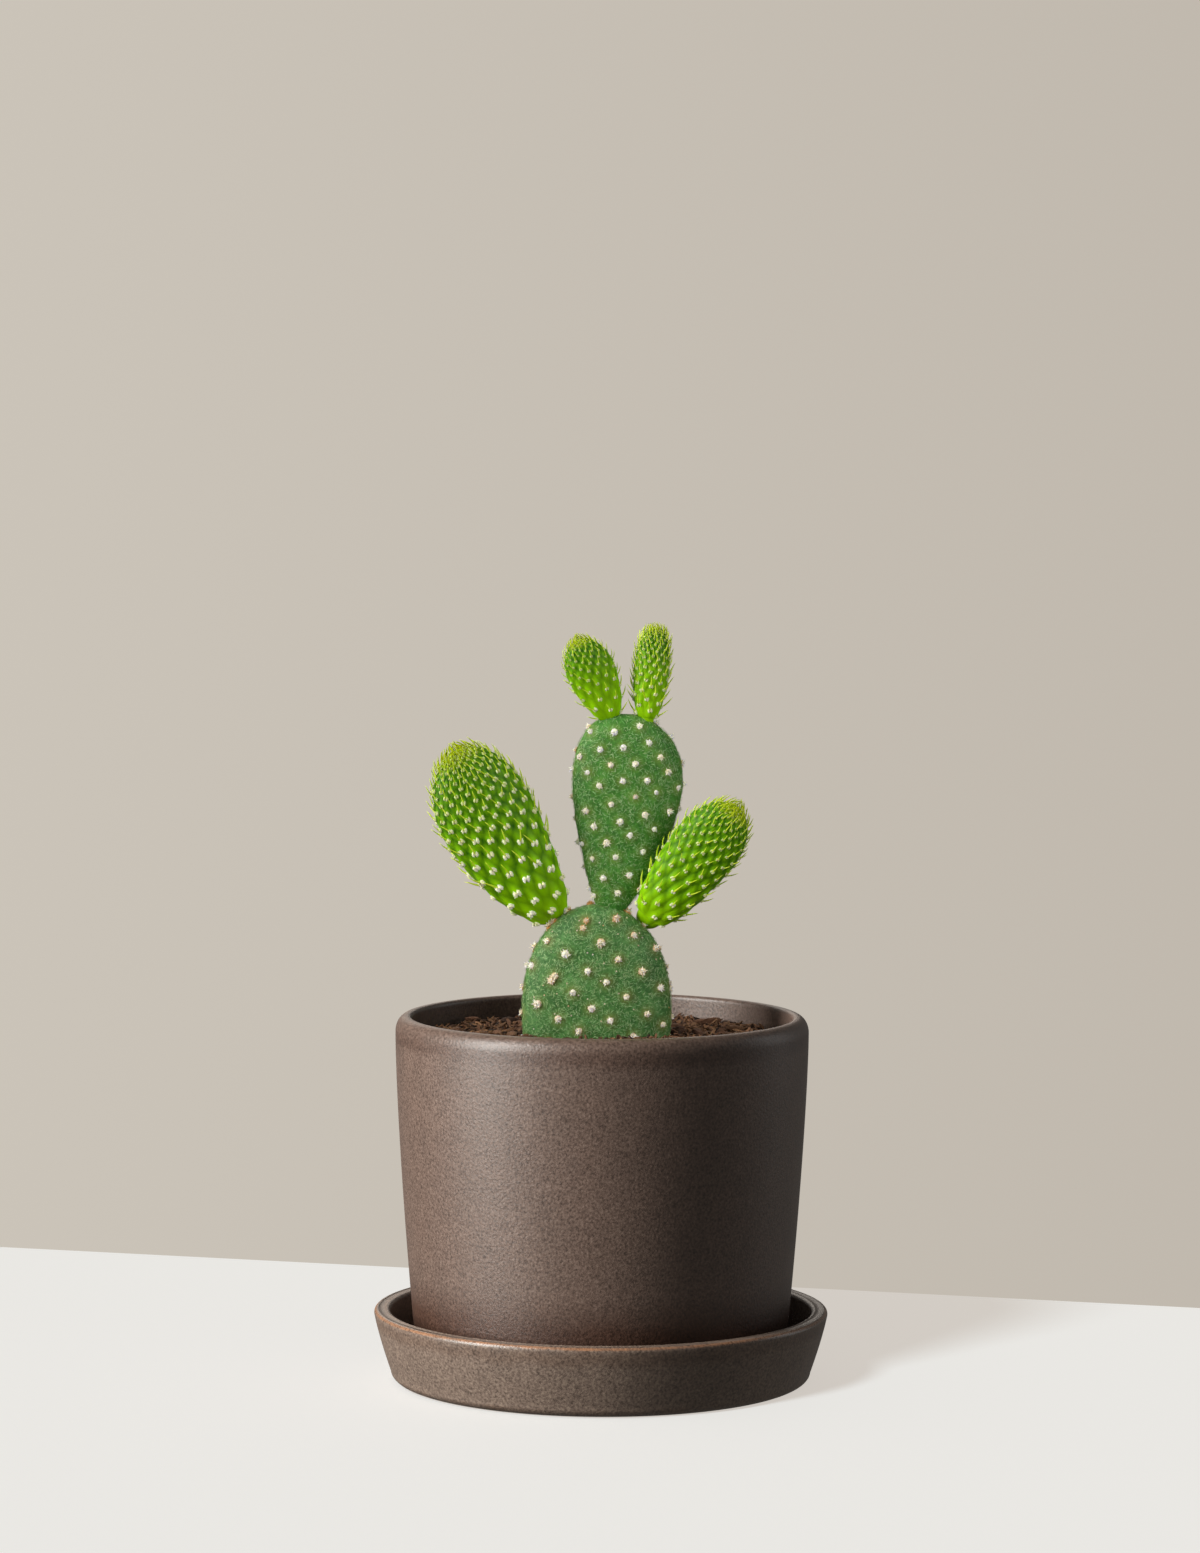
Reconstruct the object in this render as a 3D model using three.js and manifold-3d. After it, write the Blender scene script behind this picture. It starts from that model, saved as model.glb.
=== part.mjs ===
// A potted paddle cactus: a bunny-ear prickly pear with three grown pads and three young ones
// on its upper edges, in a glazed stoneware pot that stands on its own saucer.
//
// Millimetres, +Z up. The plant's broad faces look along -Y and +Y.
// The origin is the centre of the saucer's underside.

import * as THREE from 'three';
import { mergeVertices } from 'three/addons/utils/BufferGeometryUtils.js';
import Module from 'manifold-3d';

const wasm = await Module();
wasm.setup();

// ---------------------------------------------------------------- driving dimensions

const GAP = 0.3; // kept between pieces that touch
const FACETS_ROUND = 48; // round the turned pieces
const ARC_STEPS = 2; // each arc of a profile is drawn with twice as many facets
const WALL_STEPS = 5; // facets up a curved wall
const MERGE_DISTANCE = 1e-4;
const GOLDEN_ANGLE = Math.PI * (3 - Math.sqrt(5));

const SAUCER = {
  height: 24.6,
  rimRadius: 77.2, // outer edge of the rim
  rimWidth: 5.8, // the flat top of the rim
  footRadius: 66, // edge of the flat underside
  footCorner: 3.4, // height of the rounded corner over it
  wallSpread: 5.9, // how much the wall opens from corner to rim
  wallPower: 1.25,
  lipRound: 1.1,
  floor: 4.5, // top of the floor
  floorRadius: 65.6,
  innerFoot: 69.6, // inner wall just over the floor's fillet
  fillet: 4,
};

const POT = {
  foot: SAUCER.floor + GAP, // underside of the foot ring
  bellyRadius: 70, // widest, just under the lip
  bellyHeight: 118,
  crest: 124.5, // top of the lip
  crestRadius: 66,
  innerLip: 1.5,
  wall: 5.5,
  taper: 4.9, // how much the wall draws in over taperSpan
  taperSpan: 82,
  taperPower: 1.4,
  footCorner: 4,
  footRingInner: 52,
  footRecess: 1.8, // the underside inside the foot ring stands this much higher
  floorThickness: 4.6,
  floorFillet: 6,
  drainRadius: 6.5,
};

const MIX = {
  top: 117.5, // surface of the potting mix in the middle
  edgeDrop: 0.8, // lower by this at the pot's wall
};

// Pads: base is where the axis leaves the parent, tilt leans it sideways (right is positive) and
// lean forward, both in degrees. widest and neck are shares of the length and the width.
// lowerBow and lowerPower shape the outline under the widest place, and crown the one above it.
const PADS = {
  base_pad: {
    base: [-1.9, 0, 92], length: 70.3, width: 50.6, thickness: 17, tilt: 0, lean: 0, turn: 0,
    widest: 0.484, neck: 0.25, lowerBow: 2, lowerPower: 0.6, crown: 2.2, arch: 0, sink: 0,
    around: 32, along: 18, leaves: 0,
  },
  middle_pad: {
    base: [2.7, 0, 161], length: 66, width: 37.3, thickness: 12.5, tilt: 4.8, lean: 0, turn: 0,
    widest: 0.62, neck: 0.27, lowerBow: 1.4, lowerPower: 0.9, crown: 2.8, arch: 2, sink: 6,
    around: 26, along: 16, leaves: 0,
  },
  left_pad: {
    base: [-15.8, 0, 156.8], length: 68.2, width: 32.6, thickness: 15, tilt: -30.4, lean: 10, turn: 0,
    widest: 0.64, neck: 0.2, lowerBow: 1.5, lowerPower: 0.64, crown: 2, arch: -2.2, sink: 6,
    around: 22, along: 16, leaves: 10,
  },
  right_pad: {
    base: [15.6, -2.5, 157.9], length: 51.6, width: 22.7, thickness: 13, tilt: 36.8, lean: 20, turn: 0,
    widest: 0.66, neck: 0.38, lowerBow: 1.5, lowerPower: 0.55, crown: 2, arch: 0, sink: 7,
    around: 20, along: 14, leaves: 9,
  },
  top_left_pad: {
    base: [2.5, 0, 225.7], length: 29.6, width: 16.2, thickness: 10, tilt: -23.6, lean: 15, turn: 0,
    widest: 0.6, neck: 0.3, lowerBow: 1.5, lowerPower: 0.64, crown: 2, arch: 0, sink: 5,
    around: 18, along: 12, leaves: 8,
  },
  top_right_pad: {
    base: [14.6, 0, 225.7], length: 30.9, width: 11.5, thickness: 9.5, tilt: 5.2, lean: 5, turn: 0,
    widest: 0.5, neck: 0.4, lowerBow: 1.5, lowerPower: 0.55, crown: 2.6, arch: 0, sink: 5,
    around: 18, along: 12, leaves: 8,
  },
};
const PAD_SECTION_POWER = 2.3; // a pad's cross-section is a superellipse, a little fuller than an oval
const PAD_DEPTH_POWER = 0.7; // its thickness fades towards the ends more slowly than its width

const LEAF = {
  length: 5.5, // the small awl-shaped leaves that crowd at the tip of a young pad
  radius: 0.75,
  sides: 4,
  sunk: 1,
  spread: 0.22, // how far they stand off the skin that they point along
  crownDepth: 0.24, // the share of the pad's length that they cover
};

const ROOTS = {
  count: 7,
  topZ: 94, // inside the base pad's foot, which cuts the crown off
  crownRadius: 5.5,
  crownDrop: 9,
  radius: 2.2,
  tipRadius: 0.6,
  reach: 44,
  drop: 46,
  sides: 6,
  steps: 7,
};

const CHIPS = {
  count: 46,
  shortest: 3.5,
  longest: 9,
  width: 2.8,
  thickness: 1.7,
  roughness: 0.32, // share by which each corner is knocked about
  tilt: 0.16,
  fieldRadius: 61.5,
  seed: 20,
};

// ---------------------------------------------------------------- helpers

// Joins shared vertices and drops the empty triangles that poles leave.
function tidy(geometry) {
  geometry.deleteAttribute('normal');
  geometry.deleteAttribute('uv');
  const merged = mergeVertices(geometry, MERGE_DISTANCE);
  const index = merged.getIndex().array;
  const kept = [];
  for (let i = 0; i < index.length; i += 3) {
    const [a, b, c] = [index[i], index[i + 1], index[i + 2]];
    if (a !== b && b !== c && c !== a) kept.push(a, b, c);
  }
  merged.setIndex(kept);
  return merged;
}

function toSolid(geometry) {
  return new wasm.Manifold(new wasm.Mesh({
    numProp: 3,
    vertProperties: new Float32Array(geometry.getAttribute('position').array),
    triVerts: new Uint32Array(geometry.getIndex().array),
  }));
}

function toGeometry(solid) {
  const mesh = solid.getMesh();
  const geometry = new THREE.BufferGeometry();
  geometry.setAttribute('position', new THREE.BufferAttribute(new Float32Array(mesh.vertProperties), 3));
  geometry.setIndex(new THREE.BufferAttribute(new Uint32Array(mesh.triVerts), 1));
  return geometry;
}

// Turns a profile of (radius, height) about the Z axis.
function revolve(profile) {
  const points = profile.getPoints(ARC_STEPS);
  const distinct = points.filter((p, i) => i === 0 || p.distanceTo(points[i - 1]) > 10 * MERGE_DISTANCE);
  const geometry = new THREE.LatheGeometry(distinct, FACETS_ROUND);
  geometry.rotateX(Math.PI / 2);
  return tidy(geometry);
}

// Adds a stretch whose radius follows a formula of the height.
function wallTo(profile, fromZ, toZ, radiusAt) {
  for (let i = 0; i <= WALL_STEPS; i += 1) {
    const z = THREE.MathUtils.lerp(fromZ, toZ, i / WALL_STEPS);
    profile.lineTo(radiusAt(z), z);
  }
}

// Bends a shape that stands on the Z axis from 0 to 1 along a curve.
function bendAlong(geometry, curve, steps) {
  const frames = curve.computeFrenetFrames(steps, false);
  const position = geometry.getAttribute('position');
  const vertex = new THREE.Vector3();
  for (let i = 0; i < position.count; i += 1) {
    vertex.fromBufferAttribute(position, i);
    const step = Math.round(THREE.MathUtils.clamp(vertex.z, 0, 1) * steps);
    const place = curve.getPoint(step / steps);
    place.addScaledVector(frames.normals[step], vertex.x);
    place.addScaledVector(frames.binormals[step], vertex.y);
    position.setXYZ(i, place.x, place.y, place.z);
  }
  return geometry;
}

function seededRandom(seed) {
  let state = seed;
  return () => {
    state = (Math.imul(state, 1664525) + 1013904223) >>> 0;
    return state / 4294967296;
  };
}

function makeMaterial(color, roughness) {
  return new THREE.MeshStandardMaterial({ color, roughness, metalness: 0 });
}

// ---------------------------------------------------------------- saucer

function saucerWall(z) {
  const share = Math.max(SAUCER.height - z, 0) / (SAUCER.height - SAUCER.footCorner);
  return SAUCER.rimRadius - SAUCER.wallSpread * share ** SAUCER.wallPower;
}

function makeSaucer() {
  const { height, footRadius, footCorner, lipRound, floor, fillet } = SAUCER;
  const cornerRadius = saucerWall(footCorner) - footRadius;
  const rimInner = SAUCER.rimRadius - SAUCER.rimWidth;
  const lipZ = height - lipRound;
  const profile = new THREE.Path();
  profile.moveTo(0, 0);
  profile.lineTo(footRadius, 0);
  profile.absellipse(footRadius, footCorner, cornerRadius, footCorner, -Math.PI / 2, 0, false, 0);
  wallTo(profile, footCorner, lipZ, saucerWall);
  profile.absellipse(saucerWall(lipZ) - lipRound, lipZ, lipRound, lipRound, 0, Math.PI / 2, false, 0);
  profile.absellipse(rimInner + lipRound, lipZ, lipRound, lipRound, Math.PI / 2, Math.PI, false, 0);
  profile.lineTo(SAUCER.innerFoot, floor + fillet);
  profile.absellipse(SAUCER.floorRadius, floor + fillet, SAUCER.innerFoot - SAUCER.floorRadius, fillet,
    0, -Math.PI / 2, true, 0);
  profile.lineTo(0, floor);
  return revolve(profile);
}

// ---------------------------------------------------------------- pot

function potWall(z) {
  const fall = Math.max(POT.bellyHeight - 2 - z, 0) / POT.taperSpan;
  return POT.bellyRadius - POT.taper * fall ** POT.taperPower;
}

const potFloorTop = POT.foot + POT.footRecess + POT.floorThickness;

function potInnerWall(z) {
  return potWall(z) - POT.wall;
}

function makePot() {
  const { foot, footCorner, footRingInner, footRecess, bellyRadius, bellyHeight, crest } = POT;
  const cornerTop = foot + footCorner;
  const recessTop = foot + footRecess;
  const innerLipRadius = potInnerWall(crest);
  const filletTop = potFloorTop + POT.floorFillet;
  const profile = new THREE.Path();
  profile.moveTo(POT.drainRadius, recessTop);
  profile.lineTo(footRingInner - footRecess, recessTop);
  profile.lineTo(footRingInner, foot);
  profile.absellipse(potWall(cornerTop) - footCorner, cornerTop, footCorner, footCorner,
    -Math.PI / 2, 0, false, 0);
  wallTo(profile, cornerTop, bellyHeight, potWall);
  profile.absellipse(POT.crestRadius, bellyHeight, bellyRadius - POT.crestRadius, crest - bellyHeight,
    0, Math.PI / 2, false, 0);
  profile.absellipse(POT.crestRadius, crest - POT.innerLip, POT.crestRadius - innerLipRadius, POT.innerLip,
    Math.PI / 2, Math.PI, false, 0);
  wallTo(profile, bellyHeight, filletTop, potInnerWall);
  profile.absellipse(potInnerWall(filletTop) - POT.floorFillet, filletTop, POT.floorFillet, POT.floorFillet,
    0, -Math.PI / 2, true, 0);
  profile.lineTo(POT.drainRadius, potFloorTop);
  profile.lineTo(POT.drainRadius, recessTop);
  return revolve(profile);
}

// ---------------------------------------------------------------- pads

// Half-width of a pad as a share of its widest, t running from its base (0) to its tip (1).
function outlineShare(pad, t) {
  if (t < pad.widest) {
    const rise = 1 - (1 - Math.max(t, 0) / pad.widest) ** pad.lowerBow;
    return pad.neck + (1 - pad.neck) * rise ** pad.lowerPower;
  }
  const past = (t - pad.widest) / (1 - pad.widest);
  return Math.sqrt(Math.max(1 - past ** pad.crown, 0));
}

// A point on a pad's skin in its own frame: base at the origin, axis +Z, faces along Y.
function padPoint(pad, t, angle, grow) {
  const share = outlineShare(pad, t);
  const halfWidth = (pad.width / 2) * share + grow;
  const halfDepth = (pad.thickness / 2) * share ** PAD_DEPTH_POWER + grow;
  const round = (value) => Math.sign(value) * Math.abs(value) ** (2 / PAD_SECTION_POWER);
  const bow = pad.arch * 4 * t * (1 - t) * (t > 0 ? 1 : 0);
  return new THREE.Vector3(
    halfWidth * round(Math.cos(angle)) + bow,
    halfDepth * round(Math.sin(angle)),
    t * pad.length,
  );
}

// The pad's closed skin. Its lower end reaches below the base, inside the parent, by pad.sink.
function padGeometry(pad, grow = 0) {
  const geometry = new THREE.SphereGeometry(1, pad.around, pad.along);
  geometry.rotateX(Math.PI / 2);
  const position = geometry.getAttribute('position');
  const start = -pad.sink / pad.length;
  for (let i = 0; i < position.count; i += 1) {
    const [x, y, z] = [position.getX(i), position.getY(i), position.getZ(i)];
    const t = THREE.MathUtils.lerp(start, 1, (1 + z) / 2);
    const atPole = Math.hypot(x, y) < MERGE_DISTANCE;
    const point = padPoint(pad, t, Math.atan2(y, x), atPole ? 0 : grow);
    if (atPole) point.setX(pad.arch * 4 * t * (1 - t) * (t > 0 ? 1 : 0)).setY(0);
    position.setXYZ(i, point.x, point.y, point.z + grow * z);
  }
  return tidy(geometry);
}

// One awl-shaped leaf at the crown of a young pad, in the pad's frame.
function leafGeometry(pad, index) {
  const profile = [[0, 0], [0.8, 0.12], [1, 0.35], [0, 1]].map(
    ([radius, height]) => new THREE.Vector2(radius * LEAF.radius, height * LEAF.length),
  );
  const geometry = new THREE.LatheGeometry(profile, LEAF.sides);
  geometry.rotateX(Math.PI / 2);
  const angle = index * GOLDEN_ANGLE;
  const t = 1 - LEAF.crownDepth * ((index + 1) / pad.leaves);
  const root = padPoint(pad, t, angle, 0);
  const outward = new THREE.Vector3(Math.cos(angle), Math.sin(angle), 0);
  const direction = padPoint(pad, t + LEAF.crownDepth / pad.leaves, angle, 0).sub(root).normalize();
  direction.addScaledVector(outward, LEAF.spread).normalize();
  root.addScaledVector(direction, -LEAF.sunk);
  const upright = new THREE.Vector3(0, 0, 1);
  geometry.applyQuaternion(new THREE.Quaternion().setFromUnitVectors(upright, direction));
  geometry.translate(root.x, root.y, root.z);
  return tidy(geometry);
}

function padPlacement(pad) {
  const { degToRad } = THREE.MathUtils;
  const rotation = new THREE.Euler(degToRad(pad.lean), degToRad(pad.tilt), degToRad(pad.turn), 'YXZ');
  return new THREE.Matrix4().makeRotationFromEuler(rotation).setPosition(...pad.base);
}

// The pad's skin, grown outwards by grow, as a solid in the frame that the matrix leads to.
function padSolid(pad, grow, intoFrame) {
  return toSolid(padGeometry(pad, grow).applyMatrix4(padPlacement(pad).premultiply(intoFrame)));
}

// A pad as a mesh placed at its base, its neck cut to sit on its parent.
function makePad(name, parentName, material) {
  const pad = PADS[name];
  let solid = toSolid(padGeometry(pad));
  for (let i = 0; i < pad.leaves; i += 1) solid = solid.add(toSolid(leafGeometry(pad, i)));
  if (parentName) {
    const intoPad = padPlacement(pad).invert();
    solid = solid.subtract(padSolid(PADS[parentName], GAP, intoPad));
  }
  const mesh = new THREE.Mesh(toGeometry(solid), material);
  mesh.name = name;
  mesh.applyMatrix4(padPlacement(pad));
  return mesh;
}

// ---------------------------------------------------------------- roots and potting mix

const WORLD = new THREE.Matrix4();

// The root crown under the base pad with its main roots, grown outwards by grow.
function rootSolid(grow) {
  const [centreX, centreY] = PADS.base_pad.base;
  const crown = new THREE.SphereGeometry(1, 2 * ROOTS.sides, ROOTS.sides);
  crown.scale(ROOTS.crownRadius + grow, ROOTS.crownRadius + grow, ROOTS.crownDrop + grow);
  crown.translate(centreX, centreY, ROOTS.topZ - ROOTS.crownDrop / 2);
  let solid = toSolid(tidy(crown));
  const random = seededRandom(ROOTS.count);
  for (let i = 0; i < ROOTS.count; i += 1) {
    const angle = i * GOLDEN_ANGLE;
    const reach = ROOTS.reach * (0.7 + 0.3 * random());
    const drop = ROOTS.drop * (0.6 + 0.8 * random());
    const sideways = angle + 0.5 * (random() - 0.5);
    const startZ = ROOTS.topZ - ROOTS.crownDrop * 0.8;
    const along = (share, turn, fall) => new THREE.Vector3(
      centreX + Math.cos(turn) * reach * share,
      centreY + Math.sin(turn) * reach * share,
      startZ - drop * fall,
    );
    const curve = new THREE.CatmullRomCurve3([
      along(0.03, angle, 0),
      along(0.3, angle, 0.18),
      along(0.7, sideways, 0.45),
      along(1, sideways, 1),
    ]);
    const profile = [new THREE.Vector2(0, 0)];
    for (let s = 0; s <= ROOTS.steps; s += 1) {
      const radius = THREE.MathUtils.lerp(ROOTS.radius, ROOTS.tipRadius, s / ROOTS.steps);
      profile.push(new THREE.Vector2(radius + grow, s / ROOTS.steps));
    }
    profile.push(new THREE.Vector2(0, 1));
    const root = new THREE.LatheGeometry(profile, ROOTS.sides);
    root.rotateX(Math.PI / 2);
    solid = solid.add(toSolid(tidy(bendAlong(root, curve, ROOTS.steps))));
  }
  return solid;
}

function makeRoots() {
  return toGeometry(rootSolid(0).subtract(padSolid(PADS.base_pad, GAP, WORLD)));
}

function makePottingMix() {
  const bottom = potFloorTop + GAP;
  const filletTop = potFloorTop + POT.floorFillet;
  const edge = MIX.top - MIX.edgeDrop;
  const wall = (z) => potInnerWall(z) - GAP;
  const filletCentre = potInnerWall(filletTop) - POT.floorFillet;
  const profile = new THREE.Path();
  profile.moveTo(0, bottom);
  profile.lineTo(filletCentre, bottom);
  profile.absellipse(filletCentre, filletTop, POT.floorFillet - GAP, POT.floorFillet - GAP,
    -Math.PI / 2, 0, false, 0);
  wallTo(profile, filletTop, edge, wall);
  profile.lineTo(wall(edge) * 0.72, MIX.top - MIX.edgeDrop * 0.3);
  profile.lineTo(0, MIX.top);
  const filled = toSolid(revolve(profile));
  return toGeometry(filled.subtract(padSolid(PADS.base_pad, GAP, WORLD)).subtract(rootSolid(GAP)));
}

// ---------------------------------------------------------------- bark chips

function mixHeight(radius) {
  const edge = potInnerWall(MIX.top);
  return MIX.top - MIX.edgeDrop * Math.min(radius / edge, 1);
}

// A flat knocked-about splinter of bark, its long side along X.
function chipGeometry(chip, random) {
  const geometry = tidy(new THREE.BoxGeometry(chip.length, chip.width, chip.thickness, 2, 1, 1));
  const position = geometry.getAttribute('position');
  const knock = () => 1 + CHIPS.roughness * (random() - 0.5) * 2;
  for (let i = 0; i < position.count; i += 1) {
    const end = 1 - 0.45 * (2 * Math.abs(position.getX(i)) / chip.length) ** 2;
    position.setXYZ(
      i,
      position.getX(i) * knock(),
      position.getY(i) * end * knock(),
      position.getZ(i) * end * knock(),
    );
  }
  return geometry;
}

// Places for the chips, spread over the mix and clear of the base pad and of each other.
function chipPlaces(random) {
  const places = [];
  const pad = PADS.base_pad;
  while (places.length < CHIPS.count) {
    const length = THREE.MathUtils.lerp(CHIPS.shortest, CHIPS.longest, random() ** 1.4);
    const width = CHIPS.width * (0.6 + 0.6 * random());
    const thickness = CHIPS.thickness * (0.6 + 0.5 * random());
    const distance = CHIPS.fieldRadius * Math.sqrt(random());
    const angle = 2 * Math.PI * random();
    const [x, y] = [distance * Math.cos(angle), distance * Math.sin(angle)];
    const room = length * (1 + CHIPS.roughness) / 2 + GAP;
    const clearOfPad = Math.hypot(
      (x - pad.base[0]) / (pad.width / 2 + room),
      (y - pad.base[1]) / (pad.thickness / 2 + room),
    ) > 1.06;
    const clearOfOthers = places.every((other) => Math.hypot(x - other.x, y - other.y) > room + other.room);
    if (clearOfPad && clearOfOthers && distance + room < potInnerWall(MIX.top)) {
      places.push({ length, width, thickness, x, y, room });
    }
  }
  return places;
}

function makeChips(material) {
  const random = seededRandom(CHIPS.seed);
  return chipPlaces(random).map((chip, index) => {
    const mesh = new THREE.Mesh(chipGeometry(chip, random), material);
    mesh.name = `bark_chip_${String(index + 1).padStart(2, '0')}`;
    mesh.rotation.set(
      CHIPS.tilt * (random() - 0.5),
      CHIPS.tilt * (random() - 0.5),
      2 * Math.PI * random(),
      'ZYX',
    );
    const nearest = Math.max(Math.hypot(chip.x, chip.y) - chip.room, 0);
    mesh.updateMatrixWorld();
    const lowest = new THREE.Box3().setFromObject(mesh, true).min.z;
    mesh.position.set(chip.x, chip.y, mixHeight(nearest) + GAP - lowest);
    return mesh;
  });
}

// ---------------------------------------------------------------- assembly

const materials = {
  stoneware: makeMaterial(0x5c473b, 0.35),
  mix: makeMaterial(0x2e211a, 0.95),
  bark: makeMaterial(0x4d3626, 0.9),
  root: makeMaterial(0xb39a74, 0.9),
  matureSkin: makeMaterial(0x46604f, 0.7),
  youngSkin: makeMaterial(0x7c9a2e, 0.45),
};

function named(name, geometry, material) {
  const mesh = new THREE.Mesh(geometry, material);
  mesh.name = name;
  return mesh;
}

const holder = new THREE.Group();
holder.add(named('saucer', makeSaucer(), materials.stoneware));
holder.add(named('pot', makePot(), materials.stoneware));

const filling = new THREE.Group();
filling.add(named('potting_mix', makePottingMix(), materials.mix));
filling.add(...makeChips(materials.bark));

const plant = new THREE.Group();
plant.add(named('root_system', makeRoots(), materials.root));
plant.add(makePad('base_pad', null, materials.matureSkin));
plant.add(makePad('middle_pad', 'base_pad', materials.matureSkin));
plant.add(makePad('left_pad', 'base_pad', materials.youngSkin));
plant.add(makePad('right_pad', 'base_pad', materials.youngSkin));
plant.add(makePad('top_left_pad', 'middle_pad', materials.youngSkin));
plant.add(makePad('top_right_pad', 'middle_pad', materials.youngSkin));

const group = new THREE.Group();
group.add(holder, filling, plant);

export default group;
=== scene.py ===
"""A bunny-ear paddle cactus in a glazed stoneware pot: its looks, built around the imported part.

Everything is in metres in the part's own frame: +Z up, the plant's broad faces along -Y and +Y,
the origin at the centre of the saucer's underside. Sizes in the classes below are millimetres.
"""

import logging
import math
from dataclasses import dataclass, field
from enum import Enum
from typing import Callable

import bpy
import bmesh
import numpy as np
from mathutils import Matrix, Vector, noise


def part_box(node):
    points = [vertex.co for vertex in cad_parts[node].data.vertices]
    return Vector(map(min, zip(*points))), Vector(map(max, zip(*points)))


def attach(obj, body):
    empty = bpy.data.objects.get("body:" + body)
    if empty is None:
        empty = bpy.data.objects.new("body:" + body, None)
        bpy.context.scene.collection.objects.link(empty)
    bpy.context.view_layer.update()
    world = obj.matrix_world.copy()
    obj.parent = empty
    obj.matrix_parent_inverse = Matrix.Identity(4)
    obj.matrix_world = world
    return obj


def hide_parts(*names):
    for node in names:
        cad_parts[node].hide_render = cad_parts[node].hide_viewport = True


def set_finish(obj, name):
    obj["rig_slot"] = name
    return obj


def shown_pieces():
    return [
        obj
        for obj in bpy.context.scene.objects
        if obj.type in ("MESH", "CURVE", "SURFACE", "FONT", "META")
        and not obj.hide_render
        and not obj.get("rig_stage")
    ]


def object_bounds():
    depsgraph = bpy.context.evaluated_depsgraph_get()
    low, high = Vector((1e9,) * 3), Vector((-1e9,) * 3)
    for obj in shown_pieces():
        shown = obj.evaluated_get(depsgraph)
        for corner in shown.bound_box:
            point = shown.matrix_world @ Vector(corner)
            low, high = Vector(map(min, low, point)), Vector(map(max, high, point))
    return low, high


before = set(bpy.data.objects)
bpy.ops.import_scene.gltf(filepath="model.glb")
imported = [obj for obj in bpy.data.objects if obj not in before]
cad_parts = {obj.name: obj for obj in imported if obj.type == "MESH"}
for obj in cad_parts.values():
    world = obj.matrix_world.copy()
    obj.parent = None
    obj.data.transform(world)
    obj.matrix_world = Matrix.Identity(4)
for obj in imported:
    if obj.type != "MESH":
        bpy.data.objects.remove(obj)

CAD_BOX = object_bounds()
BODY = "root"
MM = 0.001
TURN = 2 * math.pi
GOLDEN_SHARE = (math.sqrt(5) - 1) / 2
LOG = logging.getLogger("cactus")


# ------------------------------------------------------------------ nodes and materials


def colour(code: str) -> tuple[float, float, float, float]:
    """Turn an sRGB hex colour into linear RGBA.

    Args:
        code: Six hex digits, such as "5c473b".

    Returns:
        The linear colour with full alpha.
    """
    channels = [int(code[i:i + 2], 16) / 255 for i in (0, 2, 4)]
    linear = [c / 12.92 if c <= 0.04045 else ((c + 0.055) / 1.055) ** 2.4 for c in channels]
    return (*linear, 1.0)


def feed(tree: bpy.types.NodeTree, node: bpy.types.Node, inputs: dict) -> None:
    """Give a node its constants and links.

    Args:
        tree: The node tree that holds the node.
        node: The node.
        inputs: Input names or numbers, each with a constant or the socket to link from.
    """
    for key, value in inputs.items():
        if isinstance(value, bpy.types.NodeSocket):
            tree.links.new(value, node.inputs[key])
        else:
            node.inputs[key].default_value = value


def add(tree: bpy.types.NodeTree, kind: str, inputs: dict | None = None, **settings) -> bpy.types.Node:
    """Add a node with its settings, values and links.

    Args:
        tree: The node tree that gets the node.
        kind: The node's type name.
        inputs: Input names or numbers, each with a constant or the socket to link from.
        settings: Properties of the node.

    Returns:
        The new node.
    """
    node = tree.nodes.new(kind)
    for name, value in settings.items():
        setattr(node, name, value)
    feed(tree, node, inputs or {})
    return node


def set_stops(ramp: bpy.types.Node, stops: dict[float, str]) -> None:
    """Give a colour ramp its stops.

    Args:
        ramp: The colour ramp node.
        stops: A hex colour for each place from 0 to 1, in rising order.
    """
    elements = ramp.color_ramp.elements
    first, *between, last = stops.items()
    for element, (place, code) in zip(elements, (first, last)):
        element.position = place
        element.color = colour(code)
    for place, code in between:
        elements.new(place).color = colour(code)


def new_material(name: str) -> tuple[bpy.types.Material, bpy.types.NodeTree, bpy.types.Node]:
    """Start a material with only its surface shader.

    Args:
        name: The material's name.

    Returns:
        The material, its node tree and its Principled shader.
    """
    material = bpy.data.materials.new(name)
    material.use_nodes = True
    return material, material.node_tree, material.node_tree.nodes["Principled BSDF"]


class Finish:
    """A recipe for a procedural material."""

    def make(self) -> bpy.types.Material:
        """Build the material."""
        raise NotImplementedError


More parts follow.
